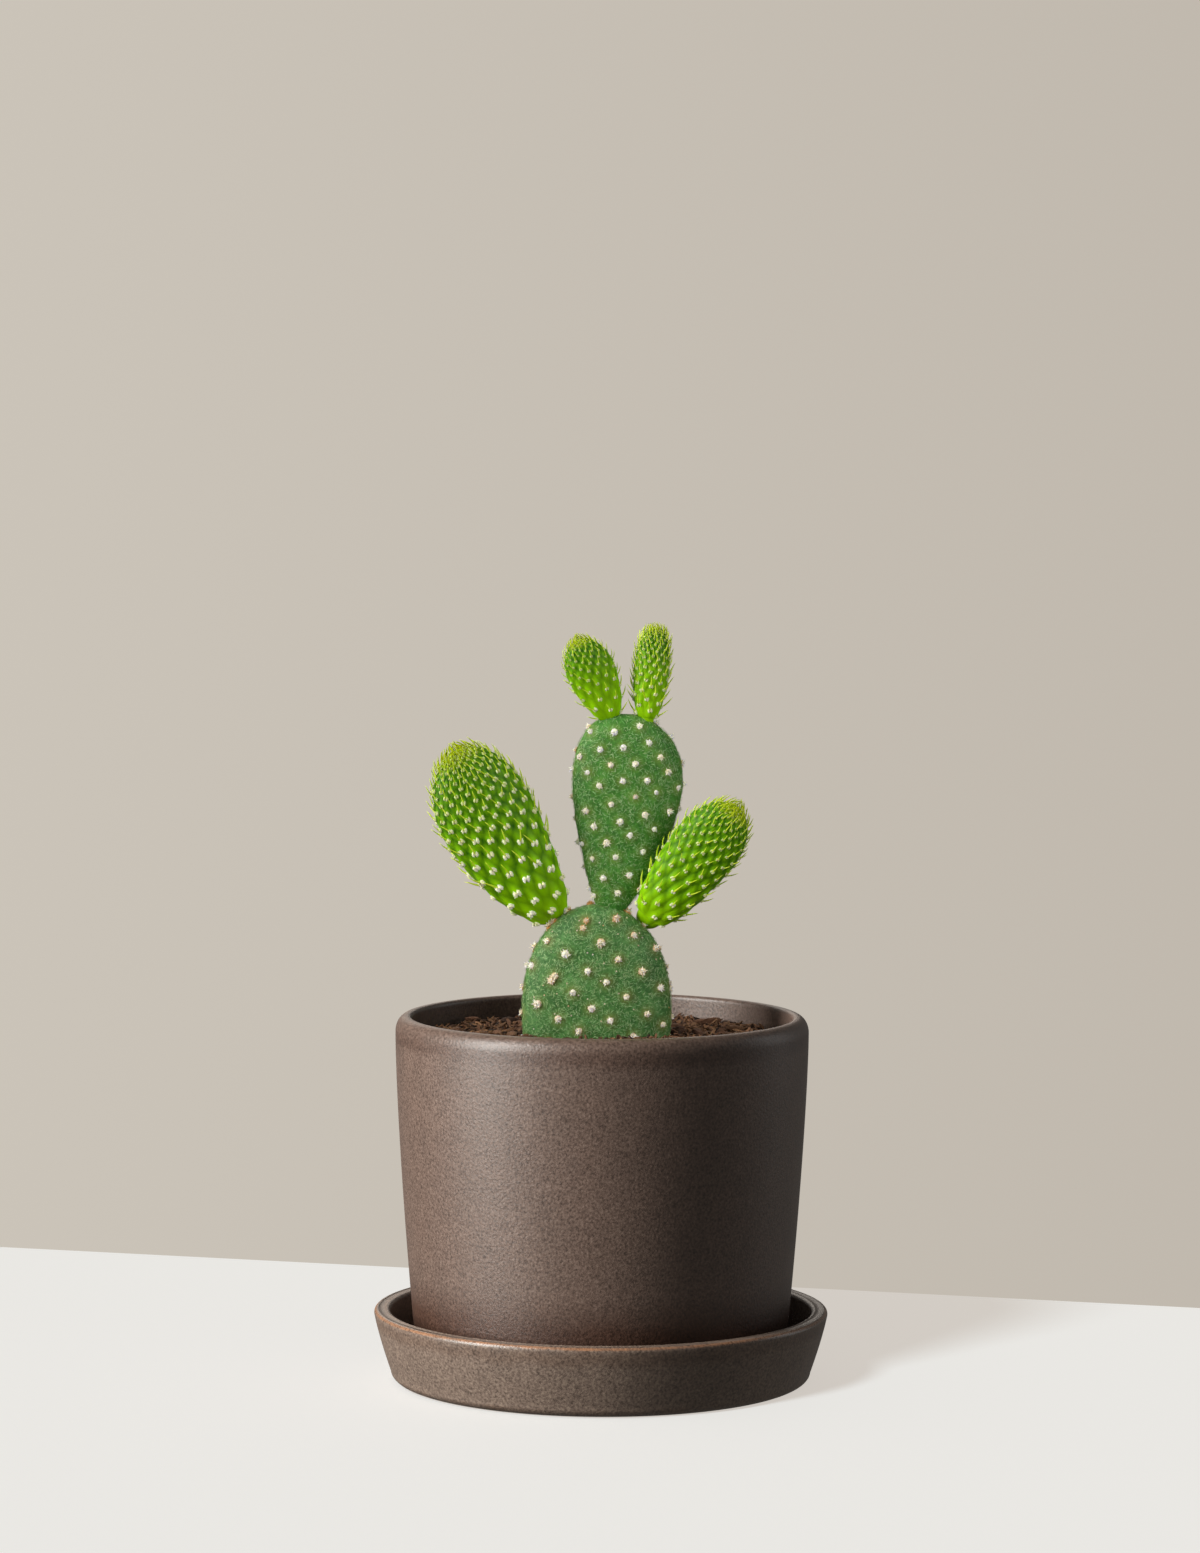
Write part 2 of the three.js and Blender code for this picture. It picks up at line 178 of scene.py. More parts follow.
@dataclass(frozen=True)
class Stoneware(Finish):
    """Reactive-glazed stoneware, dipped and fired: a satin brown skin with a fine orange-peel grain.

    The glaze breaks to copper and shines where it runs thin over a sharp edge. It is a deeper brown
    in a ragged band under the lip and at the foot: partly glaze that pooled there, partly painted shade.
    """

    name: str
    body: str
    dark: str
    light: str
    shade_and_pool_tint: str
    node: str
    outside_mm: float
    # the bands below darken the glaze: partly pooled glaze, partly painted shade
    lip_shade_and_pool_band: tuple[float, float]
    foot_shade_and_pool_band: tuple[float, float]
    lip_shade_share: float = 0.5
    copper: str = "a06a42"
    grain_mm: float = 0.85
    cloud_mm: float = 11.0
    wander_mm: float = 6.0
    ripple_mm: float = 0.9
    ripple_depth_mm: float = 0.13
    roughness: float = 0.45
    edge_gloss: float = 0.16
    ior: float = 1.62

    def shade_and_pool_tone(self, tree: bpy.types.NodeTree, place: bpy.types.NodeSocket,
                    cloud: bpy.types.NodeSocket) -> bpy.types.NodeSocket:
        """Darken the glaze under the lip, outside only, and at the foot, with painted shade and pooled glaze.

        Args:
            tree: The material's node tree.
            place: The place in the object.
            cloud: Slow noise that makes the bands ragged.

        Returns:
            White, or the pooled tint in the bands, to multiply the glaze by.
        """
        height = add(tree, "ShaderNodeSeparateXYZ", {0: place}).outputs["Z"]
        wobble = add(tree, "ShaderNodeMath", {0: cloud, 1: -self.wander_mm * MM, 2: height},
                     operation="MULTIPLY_ADD")
        # the noise averages a half, so the ragged height sits half the wander under the true one
        offset = self.wander_mm / 2
        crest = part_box(self.node)[1].z
        below, fade = self.lip_shade_and_pool_band
        foot, reach = self.foot_shade_and_pool_band
        off = add(tree, "ShaderNodeMath", {0: wobble.outputs[0], 1: crest - (below + offset) * MM},
                  operation="SUBTRACT")
        away = add(tree, "ShaderNodeMath", {0: off.outputs[0]}, operation="ABSOLUTE")
        level = add(tree, "ShaderNodeVectorMath", {0: place, 1: (1.0, 1.0, 0.0)}, operation="MULTIPLY")
        radius = add(tree, "ShaderNodeVectorMath", {0: level.outputs["Vector"]}, operation="LENGTH")
        outside = add(tree, "ShaderNodeMath", {0: radius.outputs["Value"], 1: self.outside_mm * MM},
                      operation="GREATER_THAN")
        # painted shade under the lip, with some pooled glaze: it dims the shoulder's broad highlight
        painted_shade_under_lip = add(tree, "ShaderNodeMapRange", {
            "Value": away.outputs[0], "From Min": fade * MM, "From Max": 0.25 * fade * MM,
            "To Max": outside.outputs[0]})
        eased_lip_shade = add(tree, "ShaderNodeMath", {0: painted_shade_under_lip.outputs["Result"], 1: self.lip_shade_share},
                    operation="MULTIPLY")
        # darker towards the foot: partly pooled glaze, partly painted shade near the bottom
        foot_shade_and_pool = add(tree, "ShaderNodeMapRange", {
            "Value": wobble.outputs[0], "From Min": (foot + reach - offset) * MM,
            "From Max": (foot - offset) * MM})
        shade_and_pool = add(tree, "ShaderNodeMath", {0: eased_lip_shade.outputs[0], 1: foot_shade_and_pool.outputs["Result"]},
                   operation="MAXIMUM")
        tint = add(tree, "ShaderNodeMix", {
            "Factor": shade_and_pool.outputs[0], 6: (1.0, 1.0, 1.0, 1.0), 7: colour(self.shade_and_pool_tint)}, data_type="RGBA")
        return tint.outputs[2]

    def make(self) -> bpy.types.Material:
        """Build the material.

        Returns:
            The glaze, which reads the vertex attribute "edge".
        """
        material, tree, shader = new_material(self.name)
        place = add(tree, "ShaderNodeTexCoord").outputs["Object"]
        grain = add(tree, "ShaderNodeTexNoise", {
            "Vector": place, "Scale": 1 / (self.grain_mm * MM), "Detail": 3.0, "Roughness": 0.6})
        cloud = add(tree, "ShaderNodeTexNoise", {
            "Vector": place, "Scale": 1 / (self.cloud_mm * MM), "Detail": 4.0, "Roughness": 0.65})
        ramp = add(tree, "ShaderNodeValToRGB", {"Fac": grain.outputs["Fac"]})
        set_stops(ramp, {0.3: self.dark, 0.5: self.body, 0.72: self.light})
        shade = add(tree, "ShaderNodeMapRange", {
            "Value": cloud.outputs["Fac"], "From Min": 0.3, "From Max": 0.7, "To Min": 0.88, "To Max": 1.1})
        clouded = add(tree, "ShaderNodeMix", {
            "Factor": 1.0, 6: ramp.outputs["Color"], 7: shade.outputs["Result"]},
            data_type="RGBA", blend_type="MULTIPLY")
        # multiply in the bands of painted shade and pooled glaze
        shaded_and_pooled = add(tree, "ShaderNodeMix", {
            "Factor": 1.0, 6: clouded.outputs[2], 7: self.shade_and_pool_tone(tree, place, cloud.outputs["Fac"])},
            data_type="RGBA", blend_type="MULTIPLY")
        edge = add(tree, "ShaderNodeAttribute", attribute_name="edge").outputs["Fac"]
        ragged = add(tree, "ShaderNodeMath", {0: cloud.outputs["Fac"], 1: grain.outputs["Fac"]},
                     operation="ADD")
        thin = add(tree, "ShaderNodeMath", {0: ragged.outputs[0], 1: edge}, operation="MULTIPLY")
        worn = add(tree, "ShaderNodeMapRange", {
            "Value": thin.outputs[0], "From Min": 0.55, "From Max": 1.15, "To Max": 0.6})
        final = add(tree, "ShaderNodeMix", {
            "Factor": worn.outputs["Result"], 6: shaded_and_pooled.outputs[2], 7: colour(self.copper)},
            data_type="RGBA")
        ripple = add(tree, "ShaderNodeTexNoise", {
            "Vector": place, "Scale": 1 / (self.ripple_mm * MM), "Detail": 3.0, "Roughness": 0.55})
        bump = add(tree, "ShaderNodeBump", {
            "Strength": 1.0, "Distance": self.ripple_depth_mm * MM, "Height": ripple.outputs["Fac"]})
        gloss = add(tree, "ShaderNodeMapRange", {
            "Value": grain.outputs["Fac"], "From Min": 0.3, "From Max": 0.7,
            "To Min": self.roughness - 0.05, "To Max": self.roughness + 0.07})
        polish = add(tree, "ShaderNodeMapRange", {
            "Value": edge, "From Max": 0.6, "To Max": -self.edge_gloss})
        glossier = add(tree, "ShaderNodeMath", {0: gloss.outputs["Result"], 1: polish.outputs["Result"]},
                       operation="ADD")
        feed(tree, shader, {
            "Base Color": final.outputs[2], "Normal": bump.outputs["Normal"],
            "Roughness": glossier.outputs[0], "IOR": self.ior})
        return material


# The pot's glaze is a warm satin brown: soft broad highlights, and a redder foot darkened by painted shade.
# A ragged band of painted shade, with some pooled glaze, darkens it under the lip.
POT_GLAZE = Stoneware("satin_brown_pot_glaze", body="58463d", dark="392c25", light="6c5a50",
                      shade_and_pool_tint="b89a86", node="pot", outside_mm=66.0, lip_shade_and_pool_band=(6.5, 4.0),
                      foot_shade_and_pool_band=(27.0, 12.0))
# The saucer's is thinner over a paler body: more olive, with a copper line along its rim.
# Faint painted shade darkens it under the rim and along its bottom edge.
SAUCER_GLAZE = Stoneware("satin_olive_saucer_glaze", body="69594f", dark="463a32", light="827264",
                         shade_and_pool_tint="d4c2b4", node="saucer", outside_mm=74.0, lip_shade_and_pool_band=(4.0, 3.5),
                         foot_shade_and_pool_band=(0.0, 3.0), grain_mm=0.9)


@dataclass(frozen=True)
class GrownSkin(Finish):
    """Waxed and finely velvety skin of a grown pad: matte bluish green, mottled, and olive round each
    areole, partly stain and partly painted shade under its cushion.
    """

    name: str
    dark: str
    middle: str
    light: str
    # the halo round each areole: partly stain, partly painted shade under its cushion
    halo: str = "8c8f3e"
    mottle_mm: float = 7.0
    # real down is about a quarter of this: the velvet is drawn coarser, so that it shows
    fleck_mm: float = 1.0
    fleck_depth_mm: float = 0.12
    roughness: float = 0.62

    def make(self) -> bpy.types.Material:
        """Build the material.

        Returns:
            The skin, which reads the vertex attribute "halo".
        """
        material, tree, shader = new_material(self.name)
        place = add(tree, "ShaderNodeTexCoord").outputs["Object"]
        mottle = add(tree, "ShaderNodeTexNoise", {
            "Vector": place, "Scale": 1 / (self.mottle_mm * MM), "Detail": 5.0, "Roughness": 0.6})
        fleck = add(tree, "ShaderNodeTexNoise", {
            "Vector": place, "Scale": 1 / (self.fleck_mm * MM), "Detail": 3.0, "Roughness": 0.7})
        blend = add(tree, "ShaderNodeMix", {
            "Factor": 0.6, 2: mottle.outputs["Fac"], 3: fleck.outputs["Fac"]}, data_type="FLOAT")
        ramp = add(tree, "ShaderNodeValToRGB", {"Fac": blend.outputs[0]})
        set_stops(ramp, {0.36: self.dark, 0.5: self.middle, 0.66: self.light})
        halo = add(tree, "ShaderNodeAttribute", attribute_name="halo").outputs["Fac"]
        final = add(tree, "ShaderNodeMix", {
            "Factor": halo, 6: ramp.outputs["Color"], 7: colour(self.halo)}, data_type="RGBA")
        bump = add(tree, "ShaderNodeBump", {
            "Strength": 0.7, "Distance": self.fleck_depth_mm * MM, "Height": fleck.outputs["Fac"]})
        feed(tree, shader, {
            "Base Color": final.outputs[2], "Normal": bump.outputs["Normal"], "Roughness": self.roughness,
            "IOR": 1.4, "Sheen Weight": 0.12, "Sheen Roughness": 0.5, "Sheen Tint": colour("d8e6c0")})
        return material


# The older pad is bluer and duller, with rusty halos round its aged areoles: stain and painted shade.
OLDER_SKIN = GrownSkin("velvety_bluish_cactus_skin", "24511a", "396b2d", "5a8f49", halo="96803e")
# The newer pad is a cleaner, deeper green.
NEWER_SKIN = GrownSkin("velvety_green_cactus_skin", "1e550a", "34731d", "539438")


@dataclass(frozen=True)
class YoungSkin(Finish):
    """Fresh, moist skin of a young pad: vivid yellow-green, with painted light on the tubercles and
    painted shade, a deep green, between them.
    """

    # painted shade in the valleys and painted light on the crests, over the skin's own green
    valley_shade: str = "2c6200"
    crest: str = "8cc900"
    foot: str = "98d200"
    tip: str = "93ae00"
    mottle_mm: float = 2.5
    mottle_depth_mm: float = 0.1
    glow_mm: float = 1.5
    roughness: float = 0.5

    def make(self) -> bpy.types.Material:
        """Build the material.

        Returns:
            The skin, which reads the vertex attributes "ridge", "along" and "foot".
        """
        material, tree, shader = new_material("fresh_young_cactus_skin")
        place = add(tree, "ShaderNodeTexCoord").outputs["Object"]
        ridge, along, smooth = (
            add(tree, "ShaderNodeAttribute", attribute_name=name).outputs["Fac"]
            for name in ("ridge", "along", "foot"))
        mottle = add(tree, "ShaderNodeTexNoise", {
            "Vector": place, "Scale": 1 / (self.mottle_mm * MM), "Detail": 4.0, "Roughness": 0.6})
        # the crests are painted lighter and the valleys darker: painted light and shade
        lifted = add(tree, "ShaderNodeMath", {0: mottle.outputs["Fac"], 1: 0.5, 2: ridge},
                     operation="MULTIPLY_ADD")
        height = add(tree, "ShaderNodeMapRange", {
            "Value": lifted.outputs[0], "From Min": 0.42, "From Max": 1.12})
        relief = add(tree, "ShaderNodeMix", {
            "Factor": height.outputs["Result"], 6: colour(self.valley_shade), 7: colour(self.crest)},
            data_type="RGBA")
        footed = add(tree, "ShaderNodeMix", {
            "Factor": smooth, 6: relief.outputs[2], 7: colour(self.foot)}, data_type="RGBA")
        high = add(tree, "ShaderNodeMapRange", {
            "Value": along, "From Min": 0.93, "From Max": 0.985, "To Max": 0.9})
        tipped = add(tree, "ShaderNodeMix", {
            "Factor": high.outputs["Result"], 6: footed.outputs[2], 7: colour(self.tip)},
            data_type="RGBA")
        bump = add(tree, "ShaderNodeBump", {
            "Strength": 0.4, "Distance": self.mottle_depth_mm * MM, "Height": mottle.outputs["Fac"]})
        feed(tree, shader, {
            "Base Color": tipped.outputs[2], "Normal": bump.outputs["Normal"],
            "Roughness": self.roughness, "IOR": 1.42, "Specular IOR Level": 0.2,
            "Subsurface Weight": 0.12, "Subsurface Radius": (0.6, 1.0, 0.2),
            "Subsurface Scale": self.glow_mm * MM})
        return material


YOUNG_SKIN = YoungSkin()


@dataclass(frozen=True)
class Fibre(Finish):
    """Plant hair, wool, leaf or bark: one colour at each end of a tint, and an aged colour."""

    name: str
    pale: str
    deep: str
    aged: str
    roughness: float
    ior: float = 1.45
    translucency: float = 0.0
    grain_mm: float = 0.6
    ages_from: float = 0.0
    shine: float = 0.5

    def make(self) -> bpy.types.Material:
        """Build the material.

        Returns:
            The finish, which reads the vertex attributes "tint", "age" and "rim".
        """
        material, tree, shader = new_material(self.name)
        place = add(tree, "ShaderNodeTexCoord").outputs["Object"]
        tint, age, rim = (
            add(tree, "ShaderNodeAttribute", attribute_name=name).outputs["Fac"]
            for name in ("tint", "age", "rim"))
        grain = add(tree, "ShaderNodeTexNoise", {
            "Vector": place, "Scale": 1 / (self.grain_mm * MM), "Detail": 3.0})
        mixed = add(tree, "ShaderNodeMath", {0: grain.outputs["Fac"], 1: 0.5, 2: tint},
                    operation="MULTIPLY_ADD")
        spread = add(tree, "ShaderNodeMapRange", {
            "Value": mixed.outputs[0], "From Min": 0.2, "From Max": 1.3})
        fresh = add(tree, "ShaderNodeMix", {
            "Factor": spread.outputs["Result"], 6: colour(self.pale), 7: colour(self.deep)},
            data_type="RGBA")
        whole = add(tree, "ShaderNodeMapRange", {
            "Value": age, "From Min": self.ages_from, "To Max": 0.95})
        ring = add(tree, "ShaderNodeMapRange", {"Value": age, "From Max": 0.45, "To Min": 0.1})
        stained = add(tree, "ShaderNodeMath", {
            0: rim, 1: ring.outputs["Result"], 2: whole.outputs["Result"]},
            operation="MULTIPLY_ADD", use_clamp=True)
        final = add(tree, "ShaderNodeMix", {
            "Factor": stained.outputs[0], 6: fresh.outputs[2], 7: colour(self.aged)}, data_type="RGBA")
        feed(tree, shader, {
            "Base Color": final.outputs[2], "Roughness": self.roughness, "IOR": self.ior,
            "Specular IOR Level": self.shine, "Subsurface Weight": self.translucency,
            "Subsurface Radius": (0.7, 0.6, 0.3), "Subsurface Scale": 0.6 * MM})
        return material


# Barbed glochids packed in wool let light in: soft cream cushions with a rusty ring at the foot.
GLOCHID_WOOL = Fibre("glochid_wool", "fffdf2", "faf1d8", "c8955a", 0.8,
                     translucency=0.5, ages_from=0.5, shine=0.1)
# Fresh wool is the whitest thing on the plant, and turns green where the bud is youngest.
BUD_WOOL = Fibre("white_bud_wool", "fffde4", "f6f4c4", "a8c040", 0.7, translucency=0.3, shine=0.1)
# The leaves are thin and juicy: they glow yellow-green against the skin and hardly shine.
YOUNG_LEAF = Fibre("soft_awl_leaf", "dcec4c", "b4d020", "a4b400", 0.5, translucency=0.2, shine=0.15)
# Down is pale and dull: it softens the green and shows as fine strokes.
SKIN_HAIR = Fibre("pale_skin_hair", "a8d096", "6fa864", "cfcb98", 0.6, shine=0.15)
# Composted bark is dry and matte: dark brown with paler torn faces.
BARK = Fibre("composted_bark", "62402e", "1a0f09", "8c6442", 0.85, grain_mm=0.9)
# Coir and bark fines are dry, matte and torn: from straw brown to near black.
COIR = Fibre("coir_and_bark_fines", "6e4a32", "0f0804", "a07650", 0.85, grain_mm=0.8)
# Moist peaty mix is its own dark brown, made near black as painted shade in the gaps between the slivers.
CRUMB = Fibre("moist_potting_mix", "2c1b10", "0e0704", "3c281a", 0.95, grain_mm=1.2)
# Young roots have a thin corky bark: dull and straw-coloured.
ROOT = Fibre("corky_root_bark", "b89a6c", "8a6a44", "7a5a38", 0.9)


# ------------------------------------------------------------------ mesh helpers


def link(made: bpy.types.Object) -> bpy.types.Object:
    """Put an object in the scene."""
    bpy.context.scene.collection.objects.link(made)
    return made


def mesh_object(name: str, vertices: np.ndarray, faces: list, smooth: bool = True) -> bpy.types.Object:
    """Make an object from vertices in millimetres.

    Args:
        name: The object's name.
        vertices: One row of x, y, z for each vertex.
        faces: Vertex numbers of each face, counter-clockwise from outside.
        smooth: Whether faces are shaded smooth.

    Returns:
        The object, linked to the scene, its place in its mesh.
    """
    mesh = bpy.data.meshes.new(name)
    mesh.from_pydata([tuple(v) for v in np.asarray(vertices) * MM], [], faces)
    mesh.polygons.foreach_set("use_smooth", [smooth] * len(mesh.polygons))
    mesh.update()
    return link(bpy.data.objects.new(name, mesh))


def from_bmesh(name: str, bm: bmesh.types.BMesh) -> bpy.types.Object:
    """Make an object from an edit mesh in metres, and free the edit mesh.

    Args:
        name: The object's name.
        bm: The edit mesh.

    Returns:
        The object, linked to the scene.
    """
    mesh = bpy.data.meshes.new(name)
    bm.to_mesh(mesh)
    bm.free()
    return link(bpy.data.objects.new(name, mesh))


def set_attribute(made: bpy.types.Object, name: str, values: np.ndarray) -> None:
    """Store a number or a vector on each vertex.

    Args:
        made: The object whose mesh gets the attribute.
        name: The attribute's name.
        values: One value, or one row of three, for each vertex.
    """
    values = np.asarray(values, dtype=np.float32)
    kind = "FLOAT_VECTOR" if values.ndim == 2 else "FLOAT"
    attribute = made.data.attributes.new(name, kind, "POINT")
    attribute.data.foreach_set("vector" if values.ndim == 2 else "value", values.ravel())


def settle(made: bpy.types.Object, slot: str, *nodes: str) -> None:
    """Put a finished piece on the part's body and report it.

    Args:
        made: The finished piece.
        slot: The record's material slot that it takes its finish from.
        nodes: The CAD nodes that it stands for.
    """
    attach(made, BODY)
    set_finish(made, slot)
    if nodes:
        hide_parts(*nodes)
    LOG.info("%s: %d faces", made.name, len(made.data.polygons))


def unit(rows: np.ndarray) -> np.ndarray:
    """Scale each row to length one."""
    return rows / np.maximum(np.linalg.norm(rows, axis=-1, keepdims=True), 1e-12)


def run_of(line: np.ndarray) -> np.ndarray:
    """Give the way along a line of points, at each of them."""
    return np.concatenate([[0], np.cumsum(np.linalg.norm(np.diff(line, axis=0), axis=1))])


def sphere_point(polar: float, turn: float) -> np.ndarray:
    """Give the direction at an angle from +Z and a turn about it."""
    return np.array((math.sin(polar) * math.cos(turn), math.sin(polar) * math.sin(turn), math.cos(polar)))


def bridge(rings: list[range], closed: bool = False) -> list[tuple[int, ...]]:
    """Join each ring of vertices to the next, with triangles where one of them is a single point.

    Args:
        rings: The vertex numbers of each ring, counter-clockwise seen from the last one.
        closed: Whether the last ring is joined to the first.

    Returns:
        The faces, counter-clockwise from outside.
    """
    faces = []
    following = rings[1:] + (rings[:1] if closed else [])
    for low, high in zip(rings, following):
        count = max(len(low), len(high))
        for j in range(count):
            k = (j + 1) % count
            if len(low) == 1:
                faces.append((low[0], high[k], high[j]))
            elif len(high) == 1:
                faces.append((low[j], low[k], high[0]))
            else:
                faces.append((low[j], low[k], high[k], high[j]))
    return faces


# ------------------------------------------------------------------ turned stoneware


@dataclass
class Profile:
    """An outline of radius and height, in millimetres, that is turned about the pot's axis."""

    rows: list[tuple[float, float, float]] = field(default_factory=list)

    def point(self, radius: float, height: float, edge: float = 0.0) -> None:
        """Add one corner; edge is how thin the glaze runs there."""
        self.rows.append((radius, height, edge))

    def arc(self, centre: tuple[float, float], radii: tuple[float, float], turn: tuple[float, float],
            steps: int = 10, edge: float = 0.0) -> None:
        """Add a round corner.

        Args:
            centre: Radius and height of the arc's centre.
            radii: Its radii along the radius and the height.
            turn: Its first and last angle, in degrees.
            steps: How many straight stretches draw it.
            edge: How thin the glaze runs at its middle.
        """
        for i in range(steps + 1):
            share = i / steps
            angle = math.radians(turn[0] + (turn[1] - turn[0]) * share)
            self.point(centre[0] + radii[0] * math.cos(angle), centre[1] + radii[1] * math.sin(angle),
                       edge * math.sin(math.pi * share))

    def wall(self, low: float, high: float, radius_at: Callable[[float], float], steps: int = 40) -> None:
        """Add a stretch whose radius follows a formula of the height.

        Args:
            low: Height at its start.
            high: Height at its end.
            radius_at: Gives the radius at a height.
            steps: How many straight stretches draw it.
        """
        for i in range(steps + 1):
            height = low + (high - low) * i / steps
            self.point(radius_at(height), height)

    def turn(self, name: str, segments: int = 240) -> bpy.types.Object:
        """Turn the outline into a closed piece.

        Args:
            name: The piece's name.
            segments: How many facets go round it.

        Returns:
            The turned piece with its "edge" attribute.
        """
        rows = [self.rows[0]]
        rows += [r for p, r in zip(self.rows, self.rows[1:]) if math.dist(p[:2], r[:2]) > 1e-4]
        on_axis = rows[0][0] < 1e-6
        if not on_axis and math.dist(rows[0][:2], rows[-1][:2]) < 1e-4:
            rows.pop()
        angles = np.arange(segments) * TURN / segments
        vertices, edges, rings = [], [], []
        for radius, height, edge in rows:
            count = 1 if radius < 1e-6 else segments
            rings.append(range(len(vertices), len(vertices) + count))
            for angle in angles[:count]:
                vertices.append((radius * math.cos(angle), radius * math.sin(angle), height))
                edges.append(edge)
        made = mesh_object(name, np.array(vertices), bridge(rings, closed=not on_axis))
        set_attribute(made, "edge", np.array(edges))
        return made


@dataclass
class Saucer:
    """The saucer: flat underside, walls that open outwards, and a flat rim with a crisp outer corner."""

    foot_radius: float = 66.0
    foot_corner: float = 3.4
    wall_spread: float = 5.9
    wall_power: float = 1.25
    rim_width: float = 5.8
    rim_flat: float = 2.4
    rim_dip: float = 0.16
    lip_round: float = 1.5
    floor: float = 4.5
    floor_radius: float = 65.6
    inner_foot: float = 69.6
    fillet: float = 4.0

    def wall_radius(self, height: float) -> float:
        """Give the outer wall's radius at a height."""
        share = max(self.height - height, 0) / (self.height - self.foot_corner)
        return self.rim_radius - self.wall_spread * share ** self.wall_power

    def inner_radius(self, height: float) -> float:
        """Give the inner wall's radius at a height: it slopes straight from the lip to the fillet."""
        low, high = self.floor + self.fillet, self.height - self.lip_round
        return self.inner_foot + (self.rim_inner - self.inner_foot) * (height - low) / (high - low)

    def build(self, kit: "Kit") -> None:
        """Turn and glaze the saucer.

        Args:
            kit: The tools and finishes.
        """
        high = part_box("saucer")[1]
        self.height = high.z / MM
        outermost = high.x / MM
        slack = self.wall_spread * (self.lip_round / (self.height - self.foot_corner)) ** self.wall_power
        self.rim_radius = outermost + slack
        self.rim_inner = self.rim_radius - self.rim_width
        corner = self.wall_radius(self.foot_corner) - self.foot_radius
        lip = self.height - self.lip_round
        lip_radii = (self.lip_round, self.lip_round)
        middle = (outermost + self.rim_inner) / 2
        outline = Profile()
        for radius in (0, self.foot_radius / 2, self.foot_radius - 1):
            outline.point(radius, 0)
        outline.arc((self.foot_radius, self.foot_corner), (corner, self.foot_corner), (-90, 0))
        outline.wall(self.foot_corner, lip, self.wall_radius, steps=24)
        outline.arc((outermost - self.lip_round, lip), lip_radii, (0, 90), edge=1.0)
        for side in (1, -1):
            outline.point(middle + side * self.rim_flat / 2, self.height - self.rim_dip, 0.3)
        outline.arc((self.rim_inner + self.lip_round, lip), lip_radii, (90, 180), edge=0.55)
        outline.wall(lip, self.floor + self.fillet, self.inner_radius, steps=12)
        outline.arc((self.floor_radius, self.floor + self.fillet),
                    (self.inner_foot - self.floor_radius, self.fillet), (0, -90))
        outline.point(self.floor_radius * 0.6, self.floor)
        outline.point(0, self.floor)
        made = outline.turn("stoneware_saucer")
        made.data.materials.append(kit.finish(SAUCER_GLAZE))
        settle(made, "glazed_stoneware", "saucer")


@dataclass
class Pot:
    """The pot: a cylinder that draws in a little to its foot, with a soft lip and a drain hole."""

    belly_height: float = 119.2
    crest_radius: float = 66.0
    inner_lip: float = 1.5
    wall: float = 5.5
    taper: float = 4.9
    taper_from: float = 2.0
    taper_span: float = 82.0
    taper_power: float = 1.4
    foot_corner: float = 4.0
    foot_ring_inner: float = 52.0
    foot_recess: float = 1.8
    floor_thickness: float = 4.6
    floor_fillet: float = 6.0
    drain_radius: float = 6.5

    def outer(self, height: float) -> float:
        """Give the outer wall's radius at a height."""
        fall = max(self.belly_height - self.taper_from - height, 0) / self.taper_span
        return self.belly_radius - self.taper * fall ** self.taper_power

    def inner(self, height: float) -> float:
        """Give the inner wall's radius at a height."""
        return self.outer(height) - self.wall

    def build(self, kit: "Kit") -> None:
        """Turn and glaze the pot.

        Args:
            kit: The tools and finishes.
        """
        low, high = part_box("pot")
        foot, crest = low.z / MM, high.z / MM
        self.belly_radius = high.x / MM
        recess = foot + self.foot_recess
        floor = recess + self.floor_thickness
        corner_top = foot + self.foot_corner
        fillet_top = floor + self.floor_fillet
        lip_foot = crest - self.inner_lip
        outline = Profile()
        outline.point(self.drain_radius, recess)
        outline.point(self.foot_ring_inner - self.foot_recess, recess)
        outline.point(self.foot_ring_inner, foot)
        outline.arc((self.outer(corner_top) - self.foot_corner, corner_top),
                    (self.foot_corner, self.foot_corner), (-90, 0))
        outline.wall(corner_top, self.belly_height, self.outer, steps=64)
        outline.arc((self.crest_radius, self.belly_height),
                    (self.belly_radius - self.crest_radius, crest - self.belly_height), (0, 90),
                    steps=16, edge=0.28)
        outline.arc((self.crest_radius, lip_foot),
                    (self.crest_radius - self.inner(crest), self.inner_lip), (90, 180), edge=0.4)
        outline.wall(lip_foot - 0.5, fillet_top, self.inner)
        outline.arc((self.inner(fillet_top) - self.floor_fillet, fillet_top),
                    (self.floor_fillet, self.floor_fillet), (0, -90))
        outline.point(self.drain_radius, floor)
        outline.point(self.drain_radius, recess)
        made = outline.turn("stoneware_pot")
        made.data.materials.append(kit.finish(POT_GLAZE))
        settle(made, "glazed_stoneware", "pot")


# ------------------------------------------------------------------ scattering


@dataclass
class Sprinkle:
    """Places where small pieces grow or lie: points with a facing, a growing direction and a size."""

    places: np.ndarray
    facings: np.ndarray
    growths: np.ndarray
    sizes: np.ndarray
    ages: np.ndarray

    def __add__(self, other: "Sprinkle") -> "Sprinkle":
        """Join two sets of places."""
        mine, theirs = vars(self), vars(other)
        return Sprinkle(*(np.concatenate([mine[k], theirs[k]]) for k in mine))


